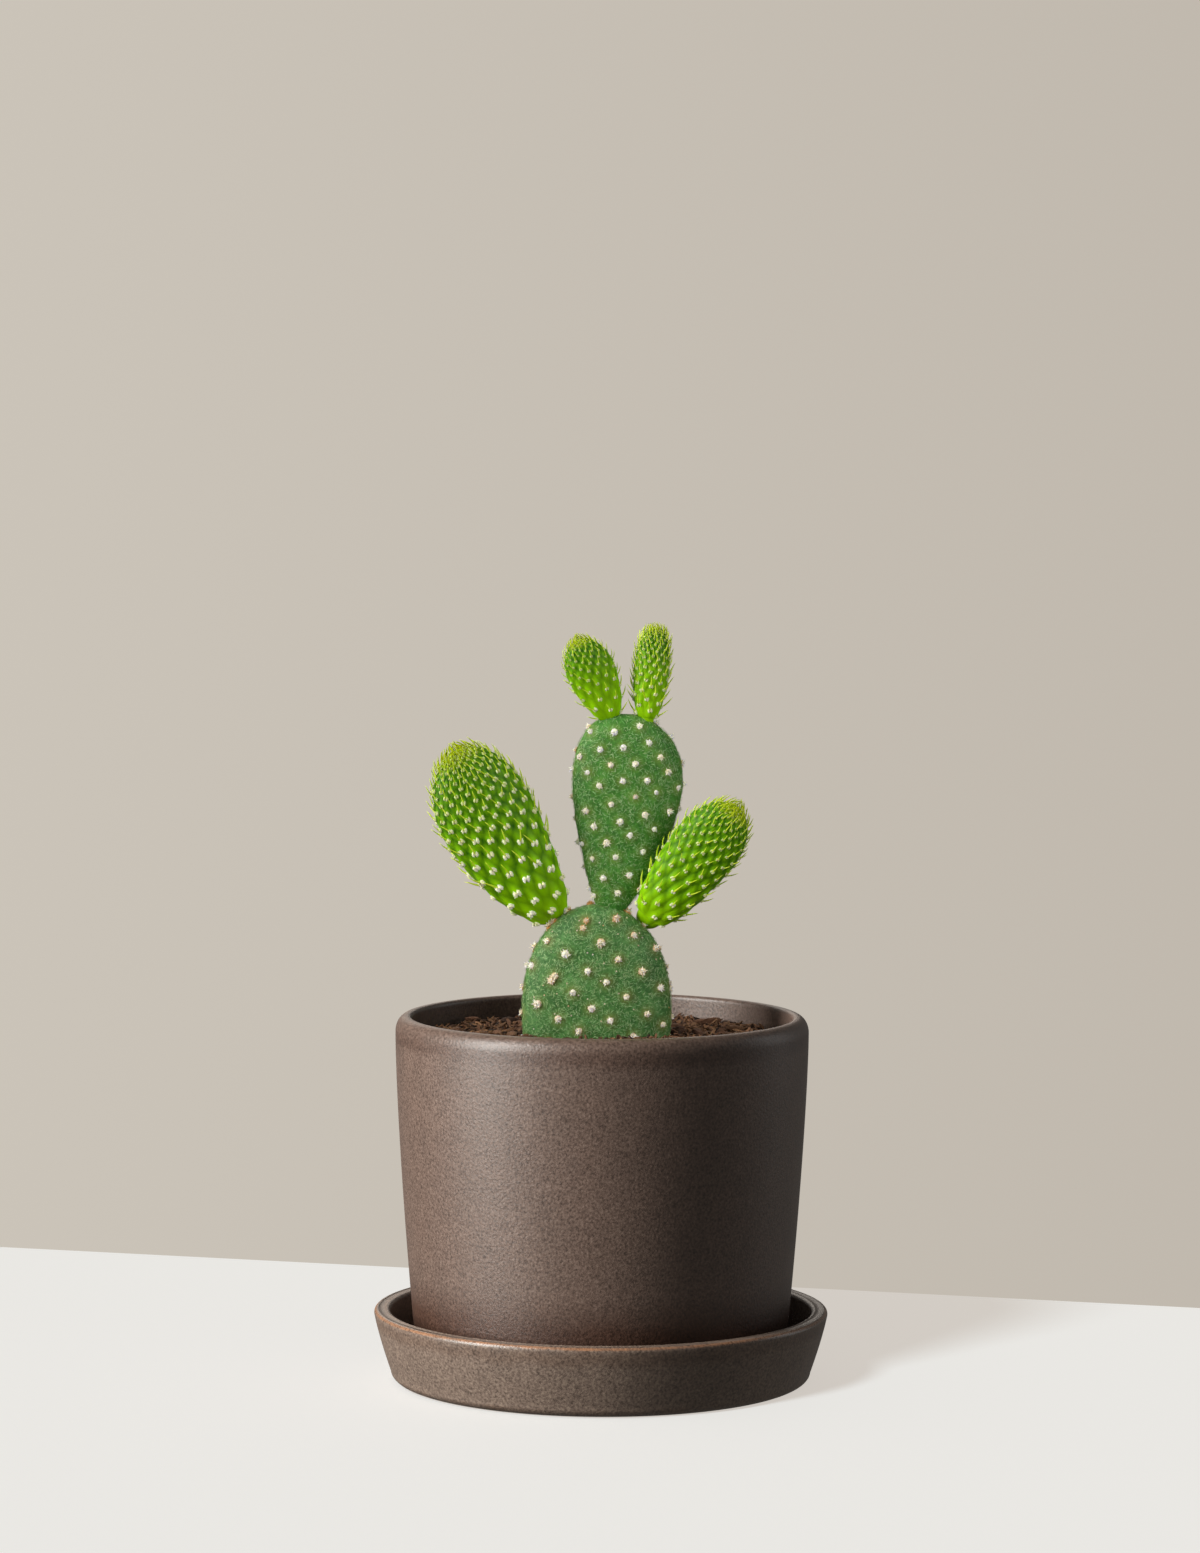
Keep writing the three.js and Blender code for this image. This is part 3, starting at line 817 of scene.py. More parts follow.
class Scatterer:
    """A geometry node tree that puts small shapes on points and makes them one mesh."""

    INPUTS = (
        ("Shapes", "NodeSocketCollection"),
        ("Finish", "NodeSocketMaterial"),
        ("Spin", "NodeSocketFloat"),
        ("Pitch", "NodeSocketFloat"),
        ("Least size", "NodeSocketFloat"),
        ("Most size", "NodeSocketFloat"),
        ("Seed", "NodeSocketInt"),
    )

    def __init__(self) -> None:
        """Build the node tree once."""
        self.tree = bpy.data.node_groups.new("scatter_small_pieces", "GeometryNodeTree")
        face = self.tree.interface
        face.new_socket("Geometry", in_out="INPUT", socket_type="NodeSocketGeometry")
        self.sockets = {
            name: face.new_socket(name, in_out="INPUT", socket_type=kind).identifier
            for name, kind in self.INPUTS
        }
        face.new_socket("Geometry", in_out="OUTPUT", socket_type="NodeSocketGeometry")
        self._wire()

    def _random(self, low: object, high: object, seed: bpy.types.NodeSocket,
                step: int) -> bpy.types.NodeSocket:
        """Add a random number for each point.

        Args:
            low: Least value or its socket.
            high: Most value or its socket.
            seed: The tree's seed.
            step: Added to the seed, so that each use draws its own numbers.

        Returns:
            The socket with the number.
        """
        own = add(self.tree, "ShaderNodeMath", {0: seed, 1: float(step)}, operation="ADD")
        drawn = add(self.tree, "FunctionNodeRandomValue", {2: low, 3: high, 8: own.outputs[0]},
                    data_type="FLOAT")
        return drawn.outputs[1]

    def _wire(self) -> None:
        """Lay out the tree: place, turn, size, tint, realize and dress the shapes."""
        tree = self.tree
        given = tree.nodes.new("NodeGroupInput").outputs
        seed = given["Seed"]
        facing = add(tree, "GeometryNodeInputNamedAttribute", {"Name": "facing"}, data_type="FLOAT_VECTOR")
        growth = add(tree, "GeometryNodeInputNamedAttribute", {"Name": "growth"}, data_type="FLOAT_VECTOR")
        size = add(tree, "GeometryNodeInputNamedAttribute", {"Name": "size"}, data_type="FLOAT")
        upright = add(tree, "FunctionNodeAlignRotationToVector", {"Vector": facing.outputs[0]}, axis="Z")
        aimed = add(tree, "FunctionNodeAlignRotationToVector", {
            "Rotation": upright.outputs[0], "Vector": growth.outputs[0]}, axis="X", pivot_axis="Z")
        minus_spin = add(tree, "ShaderNodeMath", {0: given["Spin"], 1: -1.0}, operation="MULTIPLY")
        minus_pitch = add(tree, "ShaderNodeMath", {0: given["Pitch"], 1: -1.0}, operation="MULTIPLY")
        spin = self._random(minus_spin.outputs[0], given["Spin"], seed, 1)
        pitch = self._random(minus_pitch.outputs[0], given["Pitch"], seed, 2)
        roll = self._random(minus_pitch.outputs[0], given["Pitch"], seed, 3)
        euler = add(tree, "ShaderNodeCombineXYZ", {0: roll, 1: pitch, 2: spin})
        knocked = add(tree, "FunctionNodeEulerToRotation", {"Euler": euler.outputs[0]})
        turned = add(tree, "FunctionNodeRotateRotation", {
            "Rotation": aimed.outputs[0], "Rotate By": knocked.outputs[0]}, rotation_space="LOCAL")
        grown = self._random(given["Least size"], given["Most size"], seed, 4)
        scale = add(tree, "ShaderNodeMath", {0: grown, 1: size.outputs[0]}, operation="MULTIPLY")
        shapes = add(tree, "GeometryNodeCollectionInfo", {
            "Collection": given["Shapes"], "Separate Children": True, "Reset Children": True})
        pick = add(tree, "FunctionNodeRandomValue", {4: 0, 5: 99, 8: seed}, data_type="INT")
        placed = add(tree, "GeometryNodeInstanceOnPoints", {
            "Points": given["Geometry"], "Instance": shapes.outputs[0], "Pick Instance": True,
            "Instance Index": pick.outputs[2], "Rotation": turned.outputs[0], "Scale": scale.outputs[0]})
        tint = self._random(0.0, 1.0, seed, 5)
        tinted = add(tree, "GeometryNodeStoreNamedAttribute", {
            "Geometry": placed.outputs[0], "Name": "tint", "Value": tint},
            data_type="FLOAT", domain="INSTANCE")
        solid = add(tree, "GeometryNodeRealizeInstances", {"Geometry": tinted.outputs[0]})
        dressed = add(tree, "GeometryNodeSetMaterial", {
            "Geometry": solid.outputs[0], "Material": given["Finish"]})
        add(tree, "NodeGroupOutput", {"Geometry": dressed.outputs[0]})

    def scatter(self, name: str, sprinkle: Sprinkle, shapes: bpy.types.Collection,
                finish: bpy.types.Material, seed: int, spin: float, pitch: float,
                sizes: tuple[float, float]) -> bpy.types.Object:
        """Put shapes on points.

        Args:
            name: The finished piece's name.
            sprinkle: Where the shapes go, in millimetres.
            shapes: The shapes to choose from, each one unit large.
            finish: Their material.
            seed: Fixes everything random.
            spin: Most turn about the facing, in radians.
            pitch: Most tilt away from the facing, in radians.
            sizes: Least and most size of a shape, in millimetres.

        Returns:
            One plain mesh with the attributes "tint" and "age".
        """
        made = mesh_object(name, sprinkle.places, [])
        set_attribute(made, "facing", sprinkle.facings)
        set_attribute(made, "growth", sprinkle.growths)
        set_attribute(made, "size", sprinkle.sizes)
        set_attribute(made, "age", sprinkle.ages)
        modifier = made.modifiers.new("scatter", "NODES")
        modifier.node_group = self.tree
        values = {"Shapes": shapes, "Finish": finish, "Spin": spin, "Pitch": pitch,
                  "Least size": sizes[0] * MM, "Most size": sizes[1] * MM, "Seed": seed}
        for key, value in values.items():
            modifier[self.sockets[key]] = value
        made.update_tag()
        depsgraph = bpy.context.evaluated_depsgraph_get()
        plain = bpy.data.meshes.new_from_object(made.evaluated_get(depsgraph))
        made.modifiers.remove(modifier)
        points = made.data
        made.data = plain
        plain.name = name
        bpy.data.meshes.remove(points)
        return made


# ------------------------------------------------------------------ small shapes


class Shape(Enum):
    """The small shapes that are repeated over the plant and the mix."""

    DOME = "glochid_dome"
    STAR = "bud_star"
    AWL = "awl_leaf"
    HAIR = "skin_hair"
    SLIVER = "bark_sliver"
    CRUMB = "mix_crumb"


@dataclass
class Form:
    """A small closed shape in the making, about one unit large and facing +Z."""

    smooth: bool = False
    vertices: list = field(default_factory=list)
    faces: list = field(default_factory=list)

    def loft(self, rings: list[list[np.ndarray]]) -> None:
        """Join rings of points into a closed body, and cap each end that isn't a single point.

        Args:
            rings: The points of each ring, counter-clockwise seen from the last one.
        """
        numbers = []
        for ring in rings:
            numbers.append(range(len(self.vertices), len(self.vertices) + len(ring)))
            self.vertices.extend(ring)
        self.faces += bridge(numbers)
        if len(rings[0]) > 1:
            self.faces.append(tuple(reversed(numbers[0])))
        if len(rings[-1]) > 1:
            self.faces.append(tuple(numbers[-1]))

    def spike(self, root: np.ndarray, tip: np.ndarray, radius: float) -> None:
        """Add a three-sided spike.

        Args:
            root: Centre of its foot.
            tip: Its point.
            radius: Radius of its foot.
        """
        axis = unit(tip - root)
        side = unit(np.cross(axis, (0.3, 0.5, 0.8)))
        other = np.cross(axis, side)
        turns = [TURN * k / 3 for k in range(3)]
        foot = [root + radius * (side * math.cos(turn) + other * math.sin(turn)) for turn in turns]
        self.loft([foot, [tip]])


class ShapeBox:
    """Makes a few variants of each small shape."""

    VARIANTS = 4
    RIM_HEIGHT = 0.14

    def __init__(self, seed: int = 11) -> None:
        """Start the source of variation."""
        self.random = np.random.RandomState(seed)

    def collection(self, shape: Shape) -> bpy.types.Collection:
        """Make the variants of one shape.

        Args:
            shape: Which shape.

        Returns:
            A collection outside the scene that holds the variants.
        """
        makers = {
            Shape.DOME: self.dome, Shape.STAR: self.star, Shape.AWL: self.awl,
            Shape.HAIR: self.hair, Shape.SLIVER: self.sliver, Shape.CRUMB: self.crumb,
        }
        kept = bpy.data.collections.new(shape.value)
        for i in range(self.VARIANTS):
            form = makers[shape]()
            vertices = np.array(form.vertices)
            made = mesh_object(f"{shape.value}_{i}", vertices / MM, form.faces, form.smooth)
            low = vertices[:, 2] < self.RIM_HEIGHT
            set_attribute(made, "rim", low & (shape is Shape.DOME))
            bpy.context.scene.collection.objects.unlink(made)
            kept.objects.link(made)
        return kept

    def lump(self, form: Form, centre: np.ndarray, radii: tuple[float, float, float], around: int) -> None:
        """Add a knobbly cap, closed below.

        Args:
            form: The shape that gets it.
            centre: Centre of its foot.
            radii: Its half-sizes along X, Y and Z.
            around: How many corners go round it.
        """
        rings = []
        for level, (reach, rise) in enumerate(((1.0, 0.0), (0.92, 0.55), (0.5, 0.92))):
            ring = []
            for j in range(around):
                turn = TURN * (j + 0.5 * level) / around
                rough = 1 + 0.12 * self.random.uniform(-1, 1)
                way = np.array((reach * rough * math.cos(turn), reach * rough * math.sin(turn), rise))
                ring.append(centre + way * radii)
            rings.append(ring)
        form.loft(rings + [[centre + np.array((0, 0, radii[2]))]])

    def dome(self) -> Form:
        """Make a cushion of glochids: a fluffy dome with short bristles standing all over it.

        Returns:
            The shape.
        """
        form = Form()
        bristles, steepest, widest, root = 15, 0.2, 1.45, 0.15
        self.lump(form, np.array((0.0, 0.0, -0.06)), (0.36, 0.36, 0.24), 8)
        for k in range(bristles):
            turn = TURN * k * GOLDEN_SHARE + self.random.uniform(-0.2, 0.2)
            way = sphere_point(steepest + (widest - steepest) * math.sqrt(k / bristles), turn)
            form.spike(root * way, way * self.random.uniform(0.34, 0.64), 0.12)
        return form

    def star(self) -> Form:
        """Make a young areole: two woolly tufts of short bristles with a slit between them.

        Returns:
            The shape.
        """
        form = Form()
        lying, standing, fan = 1.2, 0.45, 0.62
        for side in (-1, 1):
            heart = np.array((0.0, side * 0.08, 0.0))
            self.lump(form, np.array((0.0, side * 0.17, -0.03)), (0.34, 0.18, 0.27), 6)
            for k in range(6):
                turn = side * (math.pi / 2 + (k % 5 - 2) * fan + self.random.uniform(-0.1, 0.1))
                way = sphere_point(lying if k < 5 else standing, turn)
                form.spike(heart, heart + way * self.random.uniform(0.3, 0.46), 0.15)
        return form

    def awl(self) -> Form:
        """Make an awl-shaped leaf that rises from the skin and curves along the growing direction.

        Returns:
            The shape.
        """
        rise = self.random.uniform(0.22, 0.42)
        bend = self.random.uniform(0.1, 0.45)
        side = self.random.uniform(-0.12, 0.12)
        radii, sides, flatness = (0.042, 0.05, 0.042, 0.028), 5, 0.35
        rings = []
        for i, radius in enumerate(radii):
            share = i / len(radii)
            height = rise * share + bend * share * (1 - share) - 0.04
            centre = np.array((share, side * share * share, height))
            turns = [TURN * k / sides for k in range(sides)]
            rings.append([centre + radius * np.array((-flatness * math.sin(a), math.cos(a), math.sin(a)))
                          for a in turns])
        form = Form(smooth=True)
        form.loft(rings + [[np.array((1.0, side, rise))]])
        return form

    def hair(self) -> Form:
        """Make one fine hair that lies almost flat on the skin.

        Real ones are about a twentieth of a millimetre thick; these are drawn two or three times as
        thick, so that they show.

        Returns:
            The shape.
        """
        form = Form()
        form.spike(np.zeros(3), np.array((1.0, 0.0, self.random.uniform(0.08, 0.3))), 0.05)
        return form

    def sliver(self) -> Form:
        """Make a torn sliver of bark or coir, long along X.

        Returns:
            The shape.
        """
        stations, lift = 4, 0.05
        wide, thick = self.random.uniform(0.10, 0.2), self.random.uniform(0.06, 0.1)
        bow = self.random.uniform(-0.1, 0.1)
        rings = []
        for i in range(stations):
            x = i / (stations - 1) - 0.5
            taper = 1 - 1.5 * abs(x) ** 1.5
            ring = []
            for y, z in ((-1, -1), (1, -1), (1, 1), (-1, 1)):
                rough = self.random.uniform(0.6, 1.3, 2)
                ring.append(np.array((
                    x + self.random.uniform(-0.05, 0.05), y * wide * taper * rough[0] + bow * (1 - 4 * x * x),
                    z * thick * taper * rough[1] + lift)))
            rings.append(ring)
        form = Form()
        form.loft(rings)
        return form

    def crumb(self) -> Form:
        """Make a knocked-about crumb of mix.

        Returns:
            The shape.
        """
        bm = bmesh.new()
        bmesh.ops.create_icosphere(bm, subdivisions=1, radius=0.5)
        for v in bm.verts:
            v.co *= 1 + 0.3 * self.random.uniform(-1, 1)
            v.co.z *= 0.7
        form = Form(vertices=[np.array(v.co) for v in bm.verts],
                    faces=[tuple(v.index for v in f.verts) for f in bm.faces])
        bm.free()
        return form


@dataclass(frozen=True)
class Cover:
    """A kind of small piece that covers a surface, and how freely it lies: its turns are in radians."""

    shape: Shape
    finish: Finish
    slot: str
    spin: float
    pitch: float


GLOCHIDS = Cover(Shape.DOME, GLOCHID_WOOL, "glochid_tufts", math.pi, 0.25)
HAIRS = Cover(Shape.HAIR, SKIN_HAIR, "mature_skin", math.pi, 0.1)
STARS = Cover(Shape.STAR, BUD_WOOL, "glochid_tufts", 0.5, 0.12)
LEAVES = Cover(Shape.AWL, YOUNG_LEAF, "young_leaves", 0.4, 0.15)
SLIVERS = Cover(Shape.SLIVER, COIR, "bark", math.pi, 0.7)
CRUMBS = Cover(Shape.CRUMB, COIR, "potting_mix", math.pi, 0.6)


class Kit:
    """The finishes, small shapes and scattering tool that the pieces share."""

    def __init__(self) -> None:
        """Make every shape once."""
        self.materials = {}
        self.scatterer = Scatterer()
        box = ShapeBox()
        self.shapes = {shape: box.collection(shape) for shape in Shape}

    def finish(self, recipe: Finish) -> bpy.types.Material:
        """Give a recipe's material, which is made once.

        Args:
            recipe: The finish.

        Returns:
            Its material.
        """
        if recipe not in self.materials:
            self.materials[recipe] = recipe.make()
        return self.materials[recipe]

    def cover(self, name: str, cover: Cover, where: Sprinkle, seed: int, sizes: tuple[float, float]) -> None:
        """Put small pieces on points and settle them as one piece.

        Args:
            name: The piece's name.
            cover: The kind of small piece.
            where: Where they go, in millimetres.
            seed: Fixes everything random.
            sizes: Least and most size, in millimetres.
        """
        made = self.scatterer.scatter(name, where, self.shapes[cover.shape], self.finish(cover.finish),
                                      seed, cover.spin, cover.pitch, sizes)
        settle(made, cover.slot)


# ------------------------------------------------------------------ pads


@dataclass
class Pad:
    """One pad of the cactus: lengths in millimetres and angles in degrees."""

    node: str
    base: tuple[float, float, float]
    length: float
    width: float
    thickness: float
    tilt: float
    lean: float
    widest: float
    neck: float
    crown: float
    lower_bow: float = 1.5
    lower_power: float = 0.55
    arch: float = 0.0
    sink: float = 6.0
    set_back: float = 0.0
    set_back_span: float = 0.25
    section_power: float = 2.3
    depth_power: float = 0.7
    rings: int = 140
    around: int = 160
    seed: int = 1

    def __post_init__(self) -> None:
        """Work out the turn from the pad's own frame to the part's."""
        tilt = Matrix.Rotation(math.radians(self.tilt), 3, "Y")
        self.turn = np.array(tilt @ Matrix.Rotation(math.radians(self.lean), 3, "X"))
        self.random = np.random.RandomState(self.seed)

    def share(self, t: np.ndarray) -> np.ndarray:
        """Give the half-width as a share of the widest, from base (0) to tip (1).

        Args:
            t: Places along the pad.

        Returns:
            The share at each place.
        """
        rise = 1 - (1 - np.clip(t, 0, self.widest) / self.widest) ** self.lower_bow
        buried = np.clip(-t * self.length / max(self.sink, 1), 0, 1)
        foot = self.neck * np.sqrt(1 - buried ** 2)
        lower = foot + (1 - self.neck) * rise ** self.lower_power
        past = np.clip((t - self.widest) / (1 - self.widest), 0, 1)
        upper = np.sqrt(np.maximum(1 - past ** self.crown, 0))
        return np.where(t < self.widest, lower, upper)

    def bow(self, t: np.ndarray) -> np.ndarray:
        """Give how far the pad's middle line swings sideways."""
        return self.arch * 4 * t * (1 - t)

    def skin(self, t: np.ndarray, angle: np.ndarray) -> np.ndarray:
        """Give points on the smooth skin in the pad's own frame.

        Args:
            t: Places along the pad.
            angle: Angles about its axis, 0 at its right edge.

        Returns:
            One row of x, y, z for each place.
        """
        t, angle = np.broadcast_arrays(np.asarray(t, float), np.asarray(angle, float))
        share = self.share(t)
        cosine, sine = np.cos(angle), np.sin(angle)
        power = 2 / self.section_power
        x = self.width / 2 * share * np.sign(cosine) * np.abs(cosine) ** power + self.bow(t) * (t > 0)
        y = self.thickness / 2 * share ** self.depth_power * np.sign(sine) * np.abs(sine) ** power
        y = y + self.set_back * np.clip(1 - t / self.set_back_span, 0, 1.4) ** 2
        return np.stack([x, y, t * self.length], axis=-1)

    def axes(self, t: np.ndarray, angle: np.ndarray) -> tuple[np.ndarray, np.ndarray]:
        """Give the skin's outward normal and the direction of growth along it.

        Args:
            t: Places along the pad.
            angle: Angles about its axis.

        Returns:
            Normals and growing directions in the pad's own frame.
        """
        step = 1e-3
        t = np.clip(t, -self.sink / self.length + step, 1 - 2 * step)
        across = self.skin(t, angle + step) - self.skin(t, angle - step)
        along = self.skin(t + step, angle) - self.skin(t - step, angle)
        return unit(np.cross(across, along)), unit(along)

    def place(self, rows: np.ndarray) -> np.ndarray:
        """Move points from the pad's own frame to the part's."""
        return rows @ self.turn.T + np.array(self.base)

    def aim(self, rows: np.ndarray) -> np.ndarray:
        """Turn directions from the pad's own frame to the part's."""
        return rows @ self.turn.T

    def girth(self, t: np.ndarray) -> np.ndarray:
        """Give the way round the section at each place along the pad."""
        table = np.linspace(0, TURN, 61)
        return np.array([run_of(self.skin(np.full_like(table, at), table))[-1] for at in t])

    def edge_angle(self, t: np.ndarray, around: np.ndarray) -> np.ndarray:
        """Turn an even share of the way round the section into an angle.

        Args:
            t: Places along the pad.
            around: Shares of the way round, 0 to 1.

        Returns:
            The angle at each place.
        """
        table = np.linspace(0, TURN, 241)
        angles = np.empty_like(t)
        for i, (at, share) in enumerate(zip(t, around)):
            run = run_of(self.skin(np.full_like(table, at), table))
            angles[i] = np.interp(share * run[-1], run, table)
        return angles

    def mesh(self, relief: Callable[[np.ndarray, np.ndarray], tuple[np.ndarray, np.ndarray]]
             ) -> tuple[bpy.types.Object, np.ndarray, np.ndarray]:
        """Make the closed skin.

        Args:
            relief: Gives the height of the relief and a mark from smooth points and growing directions.

        Returns:
            The object, with the place along the pad and the mark of each vertex.
        """
        start = -self.sink / self.length
        steps = np.arange(1, self.rings) / self.rings
        t = start + (1 - start) * (1 - np.cos(math.pi * steps)) / 2
        angle = np.arange(self.around) * TURN / self.around
        tt, aa = (grid.ravel() for grid in np.meshgrid(t, angle, indexing="ij"))
        points = self.skin(tt, aa)
        normal, along = self.axes(tt, aa)
        height, mark = relief(points, along)
        points = points + normal * height[:, None]
        tip = self.length + height[-self.around:].mean()
        vertices = np.concatenate([points, [[0, 0, -self.sink], [0, 0, tip]]])
        last = len(points)
        rings = [range(first, first + self.around) for first in range(0, last, self.around)]
        faces = bridge([range(last, last + 1), *rings, range(last + 1, last + 2)])
        made = mesh_object(f"{self.node}_skin", self.place(vertices), faces)
        return made, np.concatenate([tt, [start, 1]]), np.concatenate([mark, [0, 0]])


@dataclass
class GrownPad(Pad):
    """A grown pad: velvety skin, a slanting lattice of glochid cushions, and a row of them on its rim."""

    lattice_across: tuple[float, float] = (-7.7, -2.3)
    lattice_down: tuple[float, float] = (4.0, -5.1)
    lattice_start: tuple[float, float] = (4.2, 37.8)
    lattice_reach: int = 14
    jitter: float = 0.9
    rim_gap: float = 8.0
    age: float = 0.03
    crown_age: float = 0.0
    doubled: float = 0.0
    tuft_sizes: tuple[float, float] = (2.6, 3.2)
    hairs: int = 6500
    hair_sizes: tuple[float, float] = (0.9, 1.8)
    strays: int = 0
    stray_size: float = 0.22
    buried: float = -1.0
    dimple: float = 2.3
    lift: float = 0.1
    skin_finish: GrownSkin = NEWER_SKIN

    def flat_places(self) -> tuple[np.ndarray, np.ndarray]:
        """Lay the lattice over one face.

        Returns:
            Places along the pad, and shares of the half-width (-1 to 1) across it.
        """
        reach = range(-self.lattice_reach, self.lattice_reach + 1)
        start, across, down = (
            np.array(way) for way in (self.lattice_start, self.lattice_across, self.lattice_down))
        rows = np.array([start + i * across + j * down for i in reach for j in reach])
        rows = rows + self.random.uniform(-self.jitter, self.jitter, rows.shape)
        t = rows[:, 1] / self.length
        across = (rows[:, 0] - self.bow(t)) / np.maximum(self.width / 2 * self.share(t), 1e-3)
        inside = (np.abs(across) < 0.95) & (t > max(0.03, self.buried)) & (t < 0.97)
        return t[inside], across[inside]

    def areoles(self) -> tuple[np.ndarray, np.ndarray, np.ndarray]:
        """Find every areole.

        Returns:
            Places along the pad, angles about its axis, and ages.
        """
        all_t, all_angle = [], []
        for side in (-1, 1):
            t, across = self.flat_places()
            bent = -side * np.sign(across) * np.abs(across) ** (self.section_power / 2)
            all_t.append(t)
            all_angle.append(side * np.arccos(np.clip(bent, -1, 1)))
        for edge in (0.0, math.pi):
            fine = np.linspace(max(0.04, self.buried), 1.0, 400)
            run = run_of(self.skin(fine, np.full_like(fine, edge)))
            stops = np.arange(self.rim_gap * 0.5, run[-1] - 1, self.rim_gap)
            t = np.interp(stops + self.random.uniform(-1, 1, len(stops)), run, fine)
            all_t.append(t)
            all_angle.append(edge + self.random.uniform(-0.12, 0.12, len(t)))
        t, angle = np.concatenate(all_t), np.concatenate(all_angle)
        twins = self.random.uniform(size=len(t)) < self.doubled
        t = np.concatenate([t, t[twins] + self.random.uniform(0.02, 0.035, twins.sum())])
        angle = np.concatenate([angle, angle[twins] + self.random.uniform(-0.06, 0.06, twins.sum())])
        older = self.crown_age * np.clip((t - 0.84) / 0.12, 0, 1)
        return t, angle, np.clip(self.random.normal(self.age, 0.1, len(t)) + older, 0, 1)

    def grow(self, kit: Kit) -> None:
        """Make the skin, its cushions of glochids and its hairs.

        Args:
            kit: The tools and finishes.
        """
        t, angle, age = self.areoles()
        centres = self.skin(t, angle)

        def relief(points: np.ndarray, along: np.ndarray) -> tuple[np.ndarray, np.ndarray]:
            """Raise the skin a little under each areole, and dent it unevenly between them.

            Args:
                points: Points on the smooth skin.
                along: Growing directions there, which this relief doesn't need.

            Returns:
                The height of the relief, and the strength of the areoles' halo of stain and painted shade.
            """
            gap = np.min(np.linalg.norm(points[:, None, :] - centres[None, :, :], axis=2), axis=1)
            near = np.exp(-(gap / self.dimple) ** 2)
            swell = np.array([noise.noise(Vector(p) * 0.09) for p in points])
            # the halo marks stain and painted shade round each areole
            return 0.22 * near + 0.28 * swell - 0.1, 0.45 * near

        made, _, halo = self.mesh(relief)
        set_attribute(made, "halo", halo)
        made.data.materials.append(kit.finish(self.skin_finish))
        settle(made, "mature_skin", self.node)
        sizes = self.random.uniform(0.78, 1.15, len(t)) * (1 + 0.25 * age)
        tufts = self.on_skin(t, angle, sizes, age) + self.strewn(self.strays, 0.9, self.stray_size)
        kit.cover(f"{self.node}_glochids", GLOCHIDS, tufts, self.seed, self.tuft_sizes)
        kit.cover(f"{self.node}_hairs", HAIRS, self.strewn(self.hairs, 0.5, 1.0), self.seed + 50,
                  self.hair_sizes)

    def on_skin(self, t: np.ndarray, angle: np.ndarray, sizes: np.ndarray, ages: np.ndarray) -> Sprinkle:
        """Stand places on the skin.

        Args:
            t: Places along the pad.
            angle: Angles about its axis.
            sizes: The size at each place.
            ages: The age at each place.

        Returns:
            The places, facing out and growing along the pad.
        """
        normal, along = self.axes(t, angle)
        facing = self.aim(normal)
        places = self.place(self.skin(t, angle)) + facing * self.lift
        return Sprinkle(places, facing, self.aim(along), sizes, ages)

    def strewn(self, count: int, oldest: float, size: float) -> Sprinkle:
        """Find places spread evenly over the skin.

        Args:
            count: How many.
            oldest: Their greatest age.
            size: Their size.

        Returns:
            The places.
        """
        ages = self.random.uniform(0, oldest, count)
        fine = np.linspace(max(0.02, self.buried), 0.995, 300)
        run = np.cumsum(self.girth(fine))
        t = np.interp(self.random.uniform(0, run[-1], count), run, fine)
        angle = self.edge_angle(t, self.random.uniform(size=count))
        return self.on_skin(t, angle, np.full(count, size), ages)


